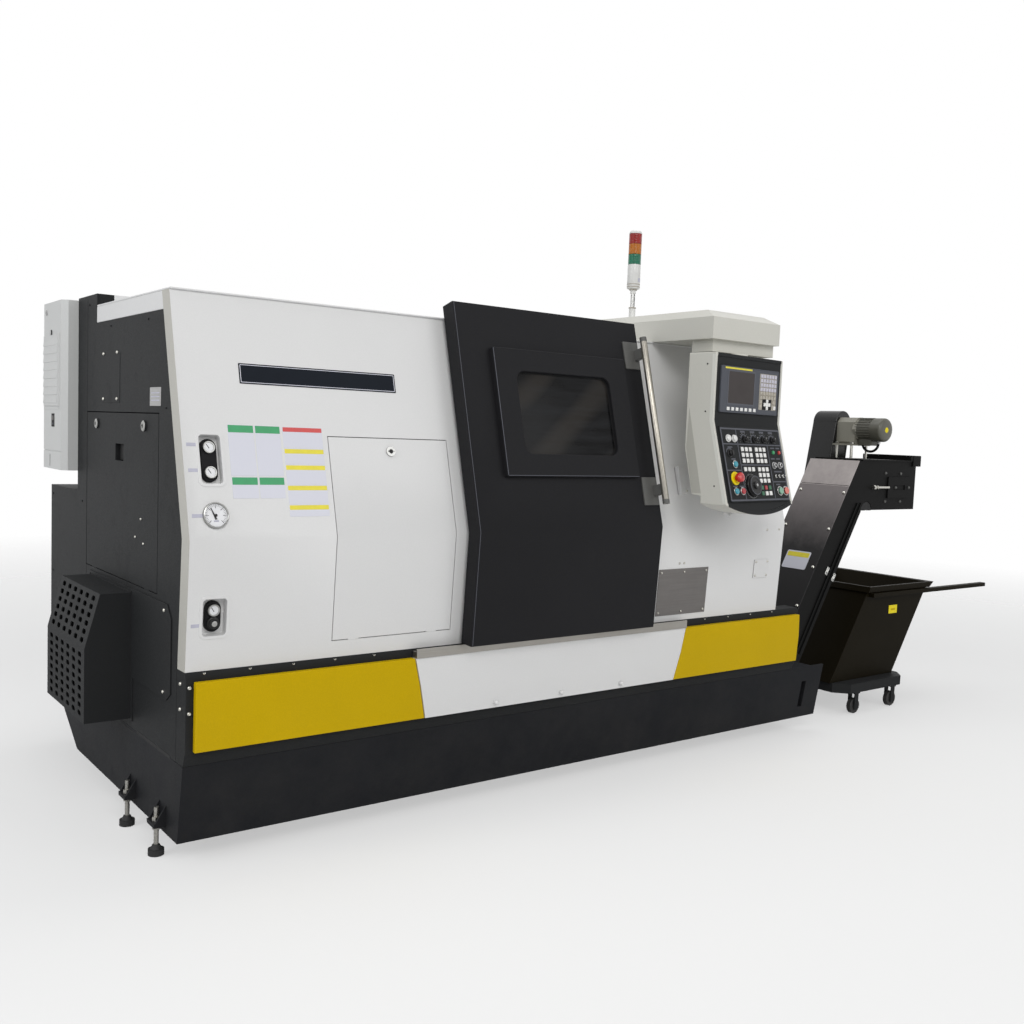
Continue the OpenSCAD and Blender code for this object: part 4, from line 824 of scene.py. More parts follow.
# Area lamps: name, place, what they look at, size, watts and tint.
LAMPS = (
    ("key", (-3.6, -6.4, 5.6), (0.0, -0.4, 0.8), (4.5, 3.0), 200, (1.0, 0.99, 0.97)),
    ("front", (2.2, -6.8, 3.6), (0.4, -0.3, 0.9), (4.0, 3.0), 74, (1.0, 1.0, 1.0)),
    ("side", (-7.0, -0.8, 3.6), (-2.2, 0.2, 0.8), (3.0, 3.0), 92, (0.97, 0.985, 1.0)),
    ("top", (0.4, 0.6, 6.4), (0.2, 0.2, 0.9), (6.0, 3.0), 104, (1.0, 1.0, 1.0)),
)


class LATHE_OT_stage(bpy.types.Operator):
    """Pale floor, soft studio light and the camera"""
    bl_idname = "lathe.stage"
    bl_label = "Stage"

    def execute(self, context):
        scene = context.scene
        p = Paint("floor_pale")
        far = p.node("ShaderNodeVectorMath", {"operation": "LENGTH"}, {0: p.place()}, out="Value")
        fade = p.band(far, 3.4, 9.5)
        p.set(base_color=p.mix(p.noise(0.8, 3.0), (0.9, 0.9, 0.9), (0.92, 0.92, 0.92)), roughness=0.75,
              specular_ior_level=0.1)
        clear = p.node("ShaderNodeBsdfTransparent")
        seen = p.node("ShaderNodeLightPath", out="Is Camera Ray")
        lift = 0.5
        both = p.node("ShaderNodeMixShader", None, {0: fade + (1 - fade) * seen * lift,
                                                    1: Sock(p, p.surface.outputs[0]), 2: clear})
        p.tree.links.new(both.out, p.out.inputs[0])
        mesh = bpy.data.meshes.new("floor")
        ring = [(FLOOR_RADIUS * x, FLOOR_RADIUS * y, FLOOR_Z) for x, y in circle(64)]
        mesh.from_pydata(ring, [], [tuple(range(len(ring)))])
        mesh.materials.append(p.mat)
        floor = bpy.data.objects.new("floor", mesh)
        scene.collection.objects.link(floor)

        world = bpy.data.worlds.new("studio")
        scene.world = world
        world.use_nodes = True
        t = world.node_tree
        t.nodes.clear()
        out = t.nodes.new("ShaderNodeOutputWorld")
        back, fill = t.nodes.new("ShaderNodeBackground"), t.nodes.new("ShaderNodeBackground")
        mix, path = t.nodes.new("ShaderNodeMixShader"), t.nodes.new("ShaderNodeLightPath")
        back.inputs["Color"].default_value = (1, 1, 1, 1)
        back.inputs["Strength"].default_value = 1.0
        fill.inputs["Color"].default_value = (0.97, 0.985, 1.0, 1)
        fill.inputs["Strength"].default_value = 0.3
        seen = path.outputs["Is Camera Ray"]
        for kind in ("Is Glossy Ray", "Is Transmission Ray"):
            either = t.nodes.new("ShaderNodeMath")
            either.operation = "MAXIMUM"
            t.links.new(seen, either.inputs[0])
            t.links.new(path.outputs[kind], either.inputs[1])
            seen = either.outputs[0]
        t.links.new(seen, mix.inputs[0])
        t.links.new(fill.outputs[0], mix.inputs[1])
        t.links.new(back.outputs[0], mix.inputs[2])
        t.links.new(mix.outputs[0], out.inputs[0])

        for name, place, aim, size, watts, tint in LAMPS:
            lamp = bpy.data.lights.new(name, "AREA")
            lamp.shape = "RECTANGLE"
            lamp.size, lamp.size_y = size
            lamp.energy = watts
            lamp.color = tint
            obj = bpy.data.objects.new(name, lamp)
            scene.collection.objects.link(obj)
            obj.location = place
            obj.rotation_euler = (Vector(aim) - Vector(place)).to_track_quat("-Z", "Y").to_euler()

        cam = bpy.data.cameras.new("camera")
        cam.lens, cam.sensor_width = 37.05, 36.0
        cam.shift_x, cam.shift_y = 0.0002, 0.0053
        cam.clip_start, cam.clip_end = 0.05, 80
        obj = bpy.data.objects.new("camera", cam)
        scene.collection.objects.link(obj)
        yaw, pitch, roll = (math.radians(a) for a in CAMERA_TURN)
        fwd = Vector((math.sin(yaw) * math.cos(pitch), math.cos(yaw) * math.cos(pitch), math.sin(pitch)))
        r = Vector((math.cos(yaw), -math.sin(yaw), 0))
        d = fwd.cross(r)
        right = r * math.cos(roll) + d * math.sin(roll)
        down = d * math.cos(roll) - r * math.sin(roll)
        rot = Matrix((right, -down, -fwd)).transposed().to_4x4()
        obj.matrix_world = Matrix.Translation((CAMERA_AT - ORIGIN) / 1000) @ rot
        scene.camera = obj
        scene.view_settings.view_transform = "Standard"
        return {"FINISHED"}


class LATHE_OT_casework(bpy.types.Operator):
    """Plinth, apron, covers and cabinets with folded edges and their paint"""
    bl_idname = "lathe.casework"
    bl_label = "Casework"

    def execute(self, context):
        for node, name, width in (
                ("base_plinth", "plinth_black", 1.6), ("front_apron", "black_coat", 1.0),
                ("apron_bands", "band_yellow", 1.2), ("apron_centre_band", "cover_white", 1.2),
                ("left_cover", "cover_white", 0.9), ("right_cover", "cover_white", 0.9),
                ("left_end_panel", "black_coat", 0.6), ("right_end_panel", "black_coat", 0.6),
                ("vent_guard", "black_coat", 0.3), ("rear_cabinet", "black_coat", 1.2),
                ("cabinet_cooler", "cooler_white", 1.6), ("roof_cover", "cover_white", 0.8),
                ("canopy", "pendant_white", 4.0), ("door_rails", "sill_stainless", 0.4),
                ("cover_plate", "plate_stainless", 0.3)):
            shell = dress(node, name, width)
            if node == "cabinet_cooler":
                # louvres pressed from the sheet, hardly proud of it
                face, kept = (COOLER_FACE - LOUVRE_FRAME - ORIGIN.x) / 1000, 0.35
                for vert in shell.data.vertices:
                    if vert.co.x < face:
                        vert.co.x = face + (vert.co.x - face) * kept
        coat("levelling_feet", "foot_zinc")
        return {"FINISHED"}


class LATHE_OT_chamber(bpy.types.Operator):
    """Slant bed, headstock, spindle, turret and tailstock in the work chamber"""
    bl_idname = "lathe.chamber"
    bl_label = "Work chamber"

    def execute(self, context):
        for node, name, width in (
                ("slant_bed", "casting_grey", 1.2), ("headstock", "casting_grey", 1.6),
                ("chamber_liner", "liner_stainless", 0.4), ("turret_saddle", "casting_grey", 0.8),
                ("cross_slide", "casting_grey", 0.8), ("turret_disc", "bright_steel", 0.6),
                ("tailstock", "casting_grey", 1.2), ("spindle_chuck", "bright_steel", 0.5),
                ("chuck_jaw_1", "bright_steel", 0.4), ("chuck_jaw_2", "bright_steel", 0.4),
                ("chuck_jaw_3", "bright_steel", 0.4), ("tailstock_quill", "bright_steel", 0.4)):
            dress(node, name, width)
        return {"FINISHED"}


class LATHE_OT_doors(bpy.types.Operator):
    """Operator door with window, seal and handle, and the two service flaps"""
    bl_idname = "lathe.doors"
    bl_label = "Doors"

    def execute(self, context):
        dress("main_door", "door_black", 2.2, 3)
        dress("access_door", "cover_white", 0.7)
        dress("side_door", "black_coat", 0.5)
        dress("access_lock", "chrome", 0.4)
        coat("window_glass", "window_pane")
        up = upper(DOOR)
        mid = (1497, 449)
        frame_w, frame_h, proud = 666, 494, 24
        f = Form("window_surround")
        opening = (469.4, 320.4, 38, *mid)
        f.ring_plate(up, (frame_w, frame_h, 5, *mid), opening, 0.2, proud, "door_black", 2.2)
        # painted highlight: pale lines along the window surround's left and bottom front edges
        side, foot = mid[0] - frame_w / 2 + 3, mid[1] - frame_h / 2 + 3
        for w, h, u, v in ((2.6, frame_h - 8, side, mid[1]), (frame_w - 8, 2.2, mid[0], foot)):
            f.plate(up, w, h, u, v, proud - 2, proud + 0.5, "line_grey", 1, 0.3)
        f.done("sliding_door", ("window_frame",))
        # painted highlight: a thin pale line down the door's left front edge
        f = Form("door_edge")
        for slope, v0, v1 in ((up, 0, up_v(1896, DOOR)), (lower(DOOR), lo_v(647, DOOR), 0)):
            f.plate(slope, 2.2, v1 - v0, 1029, (v0 + v1) / 2, -0.4, 0.5, "line_grey", 1, 0.2)
        f.done("sliding_door")
        f = Form("lock_face")
        f.turned(upper(), 742, 296, [(8, 3), (8, 5.9), (6.8, 6.3), (0, 6.3)], "dark_hole", 20)
        f.done("flap_lock")
        f = Form("window_seal")
        f.ring_plate(up, (472, 323, 40, *mid), (462, 313, 35, *mid), 6, 9, "gasket", 0.8)
        f.done("sliding_door")

        f = Form("handle_bar")
        u0, v0, reach, half, radius = 1920, 435, 60, 350, 14
        for sv in (-1, 1):
            v = v0 + sv * (half - 63)
            f.plate(up, 80, 116, u0 - 25, v, 0, 7, "bracket_grey", 3, 1.2)
            f.plate(up, 22, 44, u0, v, 6, reach - 6, "bracket_grey", 3, 1.0)

        def bar(rows, name):
            """Round bar up the door's slope, from rows of (height, radius)."""
            rings = [[up.at(u0 + r * x, v0 + v, reach + r * y) for x, y in circle(28)] for v, r in rows]
            f.loft(rings, name)

        blunt = ((-half, 0.02), (-half, 0.86), (4 - half, 1.0), (half - 4, 1.0), (half, 0.86), (half, 0.02))
        bar([(v, radius * k) for v, k in blunt], "bar_aluminium")
        for v in (9 - half, half - 9):
            bar([(v - 9, radius + 0.5), (v + 9, radius + 0.5)], "bracket_grey")
        f.done("sliding_door", ("door_handle",))
        return {"FINISHED"}


class LATHE_OT_cover_trim(bpy.types.Operator):
    """Plates, dial, adjusters and seams on the front covers"""
    bl_idname = "lathe.cover_trim"
    bl_label = "Cover trim"

    def execute(self, context):
        up, lo = upper(), lower()
        f = Form("blank_plates")
        v0, v1 = up_v(1548), up_v(1614)
        mid, h = (498, (v0 + v1) / 2), v1 - v0
        f.plate(up, 584, h, *mid, -0.2, 1.4, "name_black", 3, 0.4)
        f.ring_plate(up, (576, h - 8, 3, *mid), (572, h - 12, 2, *mid), 1.3, 1.7, "field_pale", 0.1)
        # two columns of plain fields under green headers
        for x0, x1 in ((151, 238), (243, 330)):
            w, cx = x1 - x0, (x0 + x1) / 2
            for z0, z1 in ((1253, 1414), (1182, 1249)):
                a, b = up_v(z0), up_v(z1)
                f.plate(up, w, b - a, cx, (a + b) / 2, -0.2, 0.9, "field_pale", 2, 0.3)
                f.plate(up, w - 2, 24, cx, b - 13, 0.7, 1.2, "field_green", 1.5, 0.2)
        # column of five plain fields
        w, cx = 143, 410.5
        cuts = [1122, 1161, 1224, 1290, 1343, 1414]
        for i in range(5):
            a, b = up_v(cuts[i] + 1), up_v(cuts[i + 1] - 1)
            f.plate(up, w, b - a, cx, (a + b) / 2, -0.2, 0.9, "field_pale", 2, 0.3)
            f.plate(up, w - 2, 15, cx, b - 8.5, 0.7, 1.2, "red" if i == 4 else "field_yellow", 1.5, 0.2)
        for s, v in ((up, 304), (up, 222), (up, 78), (lo, -268)):
            f.plate(s, 34, 11, 30, v, -0.2, 0.8, "field_rule", 1.5, 0.2)
        f.done("machine")

        # dial and pockets stand in one column
        u, v = 88, 78
        f = Form("gauge")
        rim = [(38, -30), (42, -1), (42, 7), (40.5, 10), (38, 11), (36.5, 9), (36.5, 3), (0, 3)]
        f.turned(up, u, v, rim, "chrome", 48)
        f.turned(up, u, v, [(36.4, 2.5), (36.4, 4.2), (0, 4.2)], "dial_white", 48)
        f.turned(up, u, v, [(4.5, 4), (4.5, 7), (3, 8), (0, 8)], "knob_black", 16)
        needle = [(u - 3, v - 14), (u + 3, v - 12), (u - 14, v + 24), (u - 16, v + 23)]
        f.prism(up, needle, 5, 6, "knob_black")
        f.plate(up, 16, 5, u, v - 18, 4, 4.8, "field_rule", 1, 0.2)
        f.done("machine", ("pressure_gauge",))
        for name, radius, count, size in (("gauge_ticks", 31, 31, 0.006), ("gauge_marks", 28.5, 7, 0.011)):
            ticks(name, [(up, u, v, 4.2, radius, count, -45, 270)], size, "machine", "knob_black")

        f = Form("pocket_cups")
        glass = [(20, -15), (20, -6), (18.5, -4), (15, -4), (15, -7), (0, -7)]
        knob = [(20, -15), (20, -8), (16, -6), (16, 0), (14.5, 1.6), (0, 1.6)]
        for s, w, h, v in ((up, 78, 165, 258), (lo, 86, 126, -245)):
            hole = (w - 8, h - 8, 12, u, v)
            f.ring_plate(s, (w + 12, h + 12, 20, u, v), hole, 0, 2.4, "cover_white", 1.0)
            f.ring_plate(s, (w - 0.6, h - 0.6, 15.7, u, v), hole, -32, 0.4, "cover_white", 0.3)
            f.plate(s, w - 1, h - 1, u, v, -34, -28, "cover_white", 14, 1)
            f.plate(s, 52, h - 26, u, v, -29, -14, "panel_black", 25.9, 2)
            k = h / 2 - 42
            for c in (v + k, v - k) if s is up else (v + k,):
                f.turned(s, u, c, glass, "chrome", 32)
                f.turned(s, u, c, [(14.8, -8), (14.8, -6.2), (0, -6.2)], "dial_white", 32)
                needle = [(u - 1.2, c - 4), (u + 1.2, c - 4), (u - 8, c + 10), (u - 9.5, c + 9)]
                f.prism(s, needle, -6.4, -5.6, "knob_black")
            if s is lo:
                f.turned(s, u, v - k, knob, "knob_black", 24)
                f.turned(s, u, v - k, [(9, 1.4), (9, 2.4), (7, 3), (0, 3)], "chrome", 20)
        f.done("machine", ("gauge_pockets",))

        f = Form("right_cover_trim")
        f.plate(lo, 100, 86, 2687, -210, 2.8, 3.6, "cover_white", 4, 0.3)
        f.plate(up, 66, 122, 2180, 196, -0.3, 3, "cover_white", 3, 0.8)
        f.plate(up, 4, 122, 2149, 196, 0, 22, "cover_white", 1, 0.8)
        hook = [(2410, 52), (2418, 44), (2439, 33), (2460, 44), (2468, 50), (2466, 54), (2439, 42),
                (2412, 56)]
        f.prism(up, hook, 0, 14, "cover_white")
        f.done("machine")
        rows = [(up, 2160, 200, 3), (up, 2200, 152, 3), (lo, 2150, -163, 0), (lo, 2178, -163, 0)]
        rows += [(lo, u, v, 3) for u in (2044, 2181, 2318) for v in (-374, -200)]
        rows += [(lo, u, v, 3.6) for u in (2648, 2726) for v in (-242, -178)]
        rows += [(lo, u, -30, 0) for u in (2706, 2790)]
        d = context.scene.lathe_sizes.screw
        scatter("plate_screws", "screw", d * 0.8, rows, "machine", "screw_zinc")
        return {"FINISHED"}


class LATHE_OT_left_end(bpy.types.Operator):
    """Plates, locks and screws on the left end and the cooler"""
    bl_idname = "lathe.left_end"
    bl_label = "Left end"

    def execute(self, context):
        d = context.scene.lathe_sizes.screw
        f = Form("end_plates")
        f.plate(LEFT, 206, 180, -782, 1566, -0.3, 1.2, "black_coat", 5, 0.5)
        f.plate(LEFT, 107, 61, -295, 1496, -0.3, 1.4, "plate_grey", 3, 0.4)
        for k in range(3):
            f.plate(LEFT, 82, 4, -295, 1508 - 12 * k, 1.3, 1.6, "field_rule", 1, 0.1)
        f.plate(LEFT, 4, 1660, -1092, 1040, -0.3, 0.5, "gasket", 1, 0.1)
        f.done("machine")
        # painted shade: the white covers' return on the left end, in a darker tint
        f = Form("cover_return")
        deep = 66
        for low, high in ((LOW, FOLD), (FOLD, TOP)):
            quad = [(-low.x - 1, low.y), (-high.x - 1, high.y),
                    (-high.x - deep, high.y), (-low.x - deep, low.y)]
            f.prism(LEFT, quad, -0.3, 1.0, "side_cream")
        f.done("machine")
        f = Form("flap_locks")
        lock, lock_z = [(18.6, 5), (18.6, 6.5), (14, 9.5), (8, 9.5), (8, 7.5), (0, 7.5)], 1398
        for y in (400, 950):
            f.turned(LEFT, -y, lock_z, lock, "chrome", 24)
            f.plate(LEFT, 3, 22, -y, lock_z, 7.5, 9.5, "dark_hole", 1, 0.2)
        f.plate(LEFT, 92, 56, -678, 1300, -19.5, -17, "dark_hole", 6, 0.5)
        f.done("side_flap")

        cool = left_at(COOLER_FACE)
        f = Form("cooler_trim")
        f.plate(cool, 44, 52, -1363, 1403, -3.6, 0.8, "panel_black", 3, 0.5)
        f.plate(cool, 30, 18, -1363, 1412, 0.6, 1.4, "screen_glass", 2, 0.2)
        for k in (-8, 8):
            f.plate(cool, 10, 8, -1363 + k, 1388, 0.6, 1.8, "bezel_grey", 1.5, 0.4)
        f.plate(cool, 12, 292, -1270, 1604, -0.4, 1.6, "cooler_white", 1, 0.5)
        f.plate(cool, 236, 12, -1388, 1452, -0.4, 1.6, "cooler_white", 1, 0.5)
        f.turned(cool, -1392, 1753, [(13, -0.4), (13, 1.4), (11, 2.4), (0, 2.4)], "panel_black", 24)
        f.plate(cool, 9, 20, -1392, 1753, 2.2, 5, "plate_grey", 3, 0.8)
        button = [(11, -0.4), (11, 2), (9, 3.2), (4, 3.2), (4, 1.4), (0, 1.4)]
        f.turned(cool, -1468, 1838, button, "plate_grey", 24)
        f.plate(cool, 10, 48, -1411, 1240, -3.2, -1.6, "dark_hole", 2, 0.3)
        f.done("machine")

        bright = [(LEFT, -y, z, 1.2) for y in (708, 872) for z in (1490, 1655)]
        bright += [(LEFT, -y, z, 0) for y, z in ((431, 1081), (489, 1015), (402, 1000))]
        lip = left_at(-4)
        bright += [(lip, -174, 809, 0), (lip, -176, 541, 0)]
        on_flap = [r for r in bright if r[0] is LEFT and 850 < r[2] < 1440]
        fixed = [r for r in bright if r not in on_flap]
        scatter("end_screws", "screw", d * 0.92, fixed, "machine", "screw_zinc")
        scatter("flap_screws", "screw", d * 0.7, on_flap, "side_flap", "screw_zinc")
        dark = [(LEFT, -y, z, 0) for y, z in ((1064, 1847), (789, 1753), (373, 1752), (191, 1459))]
        dark += [(LEFT, -y, z, 0) for y in (1150, 1600) for z in (420, 760, 1090)]
        dark += [(lip, -y, z, 0) for y in (514, 1016) for z in (390, 820)]
        scatter("end_marks", "dome", d * 0.6, dark, "machine", "gasket")
        return {"FINISHED"}


class LATHE_OT_apron_trim(bpy.types.Operator):
    """Screws of the apron and painted shadow gaps at the plinth's end"""
    bl_idname = "lathe.apron_trim"
    bl_label = "Apron trim"

    def execute(self, context):
        d = context.scene.lathe_sizes.screw
        ledge = Spot((0, -11, 630), (1, 0, 0), (0, 0.5, 1))
        rows = [(ledge, 60 + 152 * i, 3, 1) for i in range(19) if not 760 < 60 + 152 * i < 2250]
        scatter("ledge_screws", "screw", d * 0.85, rows, "machine", "screw_zinc")
        rows = [(LEFT, -26, v, 0) for v in (599, 518)] + [(APRON, 11, v, 0) for v in (594, 512)]
        scatter("apron_end_screws", "screw", d, rows, "machine", "screw_zinc")
        # painted shadow: dark strips where the apron overhangs the plinth's top at its left end
        f = Form("plinth_slots")
        for y0, y1, z, h in ((114, 451, 338, 12), (490, 672, 326, 5)):
            f.plate(LEFT, y1 - y0, h, -(y0 + y1) / 2, z, -0.3, 0.5, "dark_hole", 2, 0.1)
        f.done("machine")
        centre = front_at(0, -44, 0)
        rows = [(centre, x, 410, 4) for x in (1180, 1500, 1820)]
        scatter("band_caps", "dome", 0.019, rows, "machine", "cover_white")
        return {"FINISHED"}


class LATHE_OT_tower(bpy.types.Operator):
    """Signal tower with its post and three lenses"""
    bl_idname = "lathe.tower"
    bl_label = "Signal tower"

    def execute(self, context):
        x0, y0, z0 = 2285, 490, 1964
        base = Spot((x0, y0, z0), (1, 0, 0), (0, 1, 0))
        f = Form("tower_stem")
        stem = [(33, 0), (33, 6), (30, 8), (17, 9), (15, 12), (15, 62), (10, 64), (10, 128), (13, 130),
                (13, 142), (18, 149), (29, 151), (30, 153), (30, 258), (29, 262), (7, 262), (7, 403),
                (30, 403), (30, 406), (27, 412), (22, 416.5), (0, 417)]
        f.turned(base, 0, 0, stem, "tower_white", 40)
        f.turned(base, 0, 0, [(10.3, 64), (10.3, 129)], "bright_steel", 32)
        for z, r in ((60, 17.5), (144, 19), (156, 30.6), (168, 30.4)):
            f.turned(base, 0, 0, [(r - 2, z), (r, z + 1), (r, z + 5), (r - 2, z + 6)], "collar_grey", 40)
        f.plate(front_at(x0, y0 - 30.3, z0), 13, 17, 6, 190, -1.5, 0.5, "field_rule", 1, 0.2)
        f.done("machine", ("tower_post",))
        f = Form("tower_lenses")
        lowest, pitch = 262, 47
        for i, name in enumerate(("lens_green", "lens_amber", "lens_red")):
            b = lowest + i * pitch
            prof = [(7.2, b + 0.4), (28.6, b + 0.4), (30, b + 1.4)]
            for k in range(8):
                z = b + 3 + k * 5.2
                prof += [(30, z), (29.2, z + 2.6)]
            prof += [(30, b + 45), (29, b + 46.6), (7.2, b + 46.6)]
            f.turned(base, 0, 0, prof, name, 40)
        f.done("machine", ("tower_lamps",))
        return {"FINISHED"}


class LATHE_OT_pendant(bpy.types.Operator):
    """Operator pendant: housing, fascia, display, key panel and controls"""
    bl_idname = "lathe.pendant"
    bl_label = "Pendant"

    def execute(self, context):
        dress("pendant_housing", "pendant_white", 1.6, 3)
        dress("pendant_fascia", "fascia_black", 0.3)
        sizes = context.scene.lathe_sizes
        body = "pendant"

        # side sheet: pale front edge, painted shade where the lower corner bends, and three small screws
        f = Form("pendant_sides")
        edge = [(69, 1772), (54, 1772), (54, 1506), (140, 1172), (155, 1172), (69, 1508)]
        f.prism(PENDANT_SIDE, edge, -0.2, 0.8, "pendant_edge")
        bend_shade = [(-48, 1556), (-53, 1392), (-15, 1206), (31, 1206)]
        f.prism(PENDANT_SIDE, bend_shade, -0.2, 0.7, "pendant_shade")
        f.done(body)
        rows = [(PENDANT_SIDE, n, z, 0) for n, z in ((31, 1733), (32, 1541), (94, 1240))]
        scatter("pendant_screws", "dome", 0.007, rows, body, "gasket")

        # black edges of the fascia over the housing's top and its curved foot
        f = Form("fascia_edges")
        f.plate(FACE_UP, 476, 14, 0, 265.6, 1, 2.9, "fascia_black", 1, 0.4)
        sag, half, low = 43.0, PENDANT_HALF, 1165.0
        radius = (half ** 2 + sag ** 2) / (2 * sag)

        def foot(u, inset):
            z = low - sag + radius - math.sqrt((radius - inset) ** 2 - u ** 2)
            return u, (z - PANEL_Z) / math.cos(TILT)

        across = [-237 + 474 * i / 24 for i in range(25)]
        outline = [foot(u, 0.8) for u in across] + [foot(u, 15) for u in reversed(across)]
        f.prism(PANEL, outline, -7.5, -5.2, "fascia_black")
        f.done(body)

        # display unit: bezel, screen, soft keys and key pad
        d = FACE_UP
        f = Form("display")
        f.ring_plate(d, (430, 190, 5, 0, 129), (422, 182, 3, 0, 129), 0, 8, "bezel_grey", 1.2)
        f.plate(d, 423, 183, 0, 129, -0.2, 7.0, "bezel_grey", 3, 0.6)
        f.ring_plate(d, (201, 144, 5, -66.5, 138), (187, 130, 3, -66.5, 138), 6, 8, "line_grey", 0.8)
        f.plate(d, 188, 131, -66.5, 138, 5.5, 7.2, "screen_glass", 2, 0.3)
        f.plate(d, 132, 152, 135, 131, 6, 7.6, "keypad_grey", 3, 0.4)
        f.plate(d, 72, 45, 131, 78, 7, 7.9, "panel_black", 2, 0.2)
        f.plate(d, 196, 7, -90, 216, 6, 7.5, "field_yellow", 1, 0.2)
        f.done(body, ("display_unit",))
        rows = [(d, -157 + i * 32.3, 50, 6.8) for i in range(7)]
        scatter("soft_keys", "wide_key", 0.0172, rows, body, "key_white")
        pads = {"key_lilac": [(82 + i * 21.2, 197 - j * 18.6) for i in range(6) for j in range(4)],
                "key_beige": [(82 + i * 21.2, 125 - j * 17.4) for i in range(6) for j in range(2)]
                + [(80, 88), (80, 70), (180, 88)],
                "key_white": [(131, 93), (131, 63), (113, 78), (149, 78), (131, 78), (190, 66)]}
        for name, cells in pads.items():
            scatter("pad_" + name, "key", 0.0148, [(d, u, v, 7.4) for u, v in cells], body, name)

        # key panel: frame lines, fields, arcs, lamps and small controls
        f = Form("panel_lines")
        f.ring_plate(PANEL, (442, 306, 3, 0, -184), (428, 292, 2, 0, -184), -0.2, 1.2, "line_grey", 0.4)
        for u0, v0, u1, v1 in ((-110, -38, -110, -330), (111, -99, 111, -330), (-214, -99, 214, -99),
                               (-214, -209, -110, -209), (-110, -186, 111, -186), (111, -258, 214, -258)):
            w, h = u1 - u0 + 5, v0 - v1 + 5
            f.plate(PANEL, w, h, (u0 + u1) / 2, (v0 + v1) / 2, -0.2, 0.9, "line_grey", 1, 0.3)
        for key in SWITCHES:
            u, v = panel(*CONTROL[key])
            f.arc(PANEL, u, v, 19, 24, 25, 165 if key != "feed" else 215, -0.1, 0.5, "line_grey")
            f.plate(PANEL, 34, 8, u - 3, v + 34, -0.1, 0.5, "line_grey", 2, 0.1)
        u, v = panel(0.098, 0.379)
        f.arc(PANEL, u, v, 19, 24, 10, 170, -0.1, 0.5, "line_grey")
        fields = ((-170, -112, 34), (-158, -162, 30), (148, -112, 30), (190, -112, 30), (140, -158, 30),
                  (182, -158, 30), (165, -214, 60), (-176, -276, 30), (-130, -276, 30), (150, -270, 30))
        for u, v, w in fields:
            f.plate(PANEL, w, 6, u, v, -0.1, 0.5, "line_grey", 2, 0.1)
        f.done(body)

        def caps(s, t, nx, ny):
            u, v = panel(s, t)
            return [(PANEL, u + i * 29.5, v - j * 24.4, 0) for j in range(ny) for i in range(nx)]

        blocks = ((0.311, 0.32, 3, 3), (0.545, 0.32, 3, 3), (0.311, 0.593, 3, 1), (0.545, 0.593, 3, 3))
        rows = [row for block in blocks for row in caps(*block)]
        scatter("panel_keys", "key", sizes.key, rows, body, "key_white")
        run = caps(0.545, 0.844, 3, 2)
        for name, cells in (("key_green", (0, 2, 3)), ("dark_red", (1,)), ("key_white", (4, 5))):
            scatter("run_" + name, "key", sizes.key, [run[i] for i in cells], body, name)

        # lamps, key switches, lit buttons, a small knob, toggles, pilots and the push buttons' collars
        lamp = [(16, 0), (16, 2.4), (13.6, 3.4), (13.6, 8), (11.5, 10.4), (6, 12), (0, 12.4)]
        key_switch = [(15, 0), (15, 2.2), (13, 3), (11.4, 3), (11.4, 10.2), (10.4, 11.4), (0, 11.4)]
        key_slot = [(5.5, 11.2), (5.5, 11.9), (0, 11.9)]
        bezel = [(17, 0), (17, 3.4), (15.6, 4.6), (12.6, 4.6), (12.6, 0)]
        lit_cap = [(12.4, 0), (12.4, 7.4), (10.6, 9.6), (0, 10.2)]
        small_knob = [(17, 0), (17, 3), (13.4, 5), (13.4, 13.6), (12.2, 15), (0, 15)]
        toggle = [(8, 0), (8, 3), (4.4, 4.4), (2.6, 10), (3.6, 15), (0, 16.4)]
        pilot = [(8.5, 0), (8.5, 2.6), (7, 5.4), (0, 6.4)]
        stop_collar = [(28, 0), (28, 3), (26.4, 4.8), (10, 4.8), (10, 0)]
        push_collar = [(21, 0), (21, 2), (19.4, 3.4), (16, 3.4), (16, 0)]
        knob_at = panel(0.098, 0.379)
        parts = [(panel(s, 0.179), lamp, "lamp_clear", 28) for s in (0.109, 0.208)]
        for s in (0.814, 0.913):
            parts.append((panel(s, 0.537), key_switch, "plate_grey", 28))
            parts.append((panel(s, 0.537), key_slot, "dark_hole", 18))
        for s, t, name in ((0.105, 0.889, "teal"), (0.211, 0.888, "dark_red"), (0.153, 0.528, "teal")):
            parts.append((panel(s, t), bezel, "chrome", 28))
            parts.append((panel(s, t), lit_cap, name, 28))
        parts.append((knob_at, small_knob, "knob_black", 28))
        parts += [((u, -234), toggle, "chrome", 18) for u in (142, 170, 198)]
        parts += [((u, -131), pilot, name, 20) for u, name in ((149, "field_green"), (195, "red"))]
        parts.append((panel(*CONTROL["estop"]), stop_collar, "stop_yellow", 44))
        parts += [(panel(*CONTROL[key]), push_collar, "chrome", 36) for key in ("start", "stop")]
        f = Form("panel_controls")
        for place, profile, name, seg in parts:
            f.turned(PANEL, *place, profile, name, seg)
        f.plate(PANEL, 6, 24, *knob_at, 14.5, 18.5, "knob_black", 2, 0.8)
        f.done(body)
        marks = [(PANEL, *panel(*CONTROL[key]), 0.1, 29, 11, -20, 220) for key in SWITCHES]
        ticks("knob_ticks", marks, 0.0042, body, "tick_white")
        marks = [(PANEL, *panel(*CONTROL["hand"]), 0.1, 50, 50, 0, 352.8)]
        ticks("wheel_ticks", marks, 0.0052, body, "tick_white")

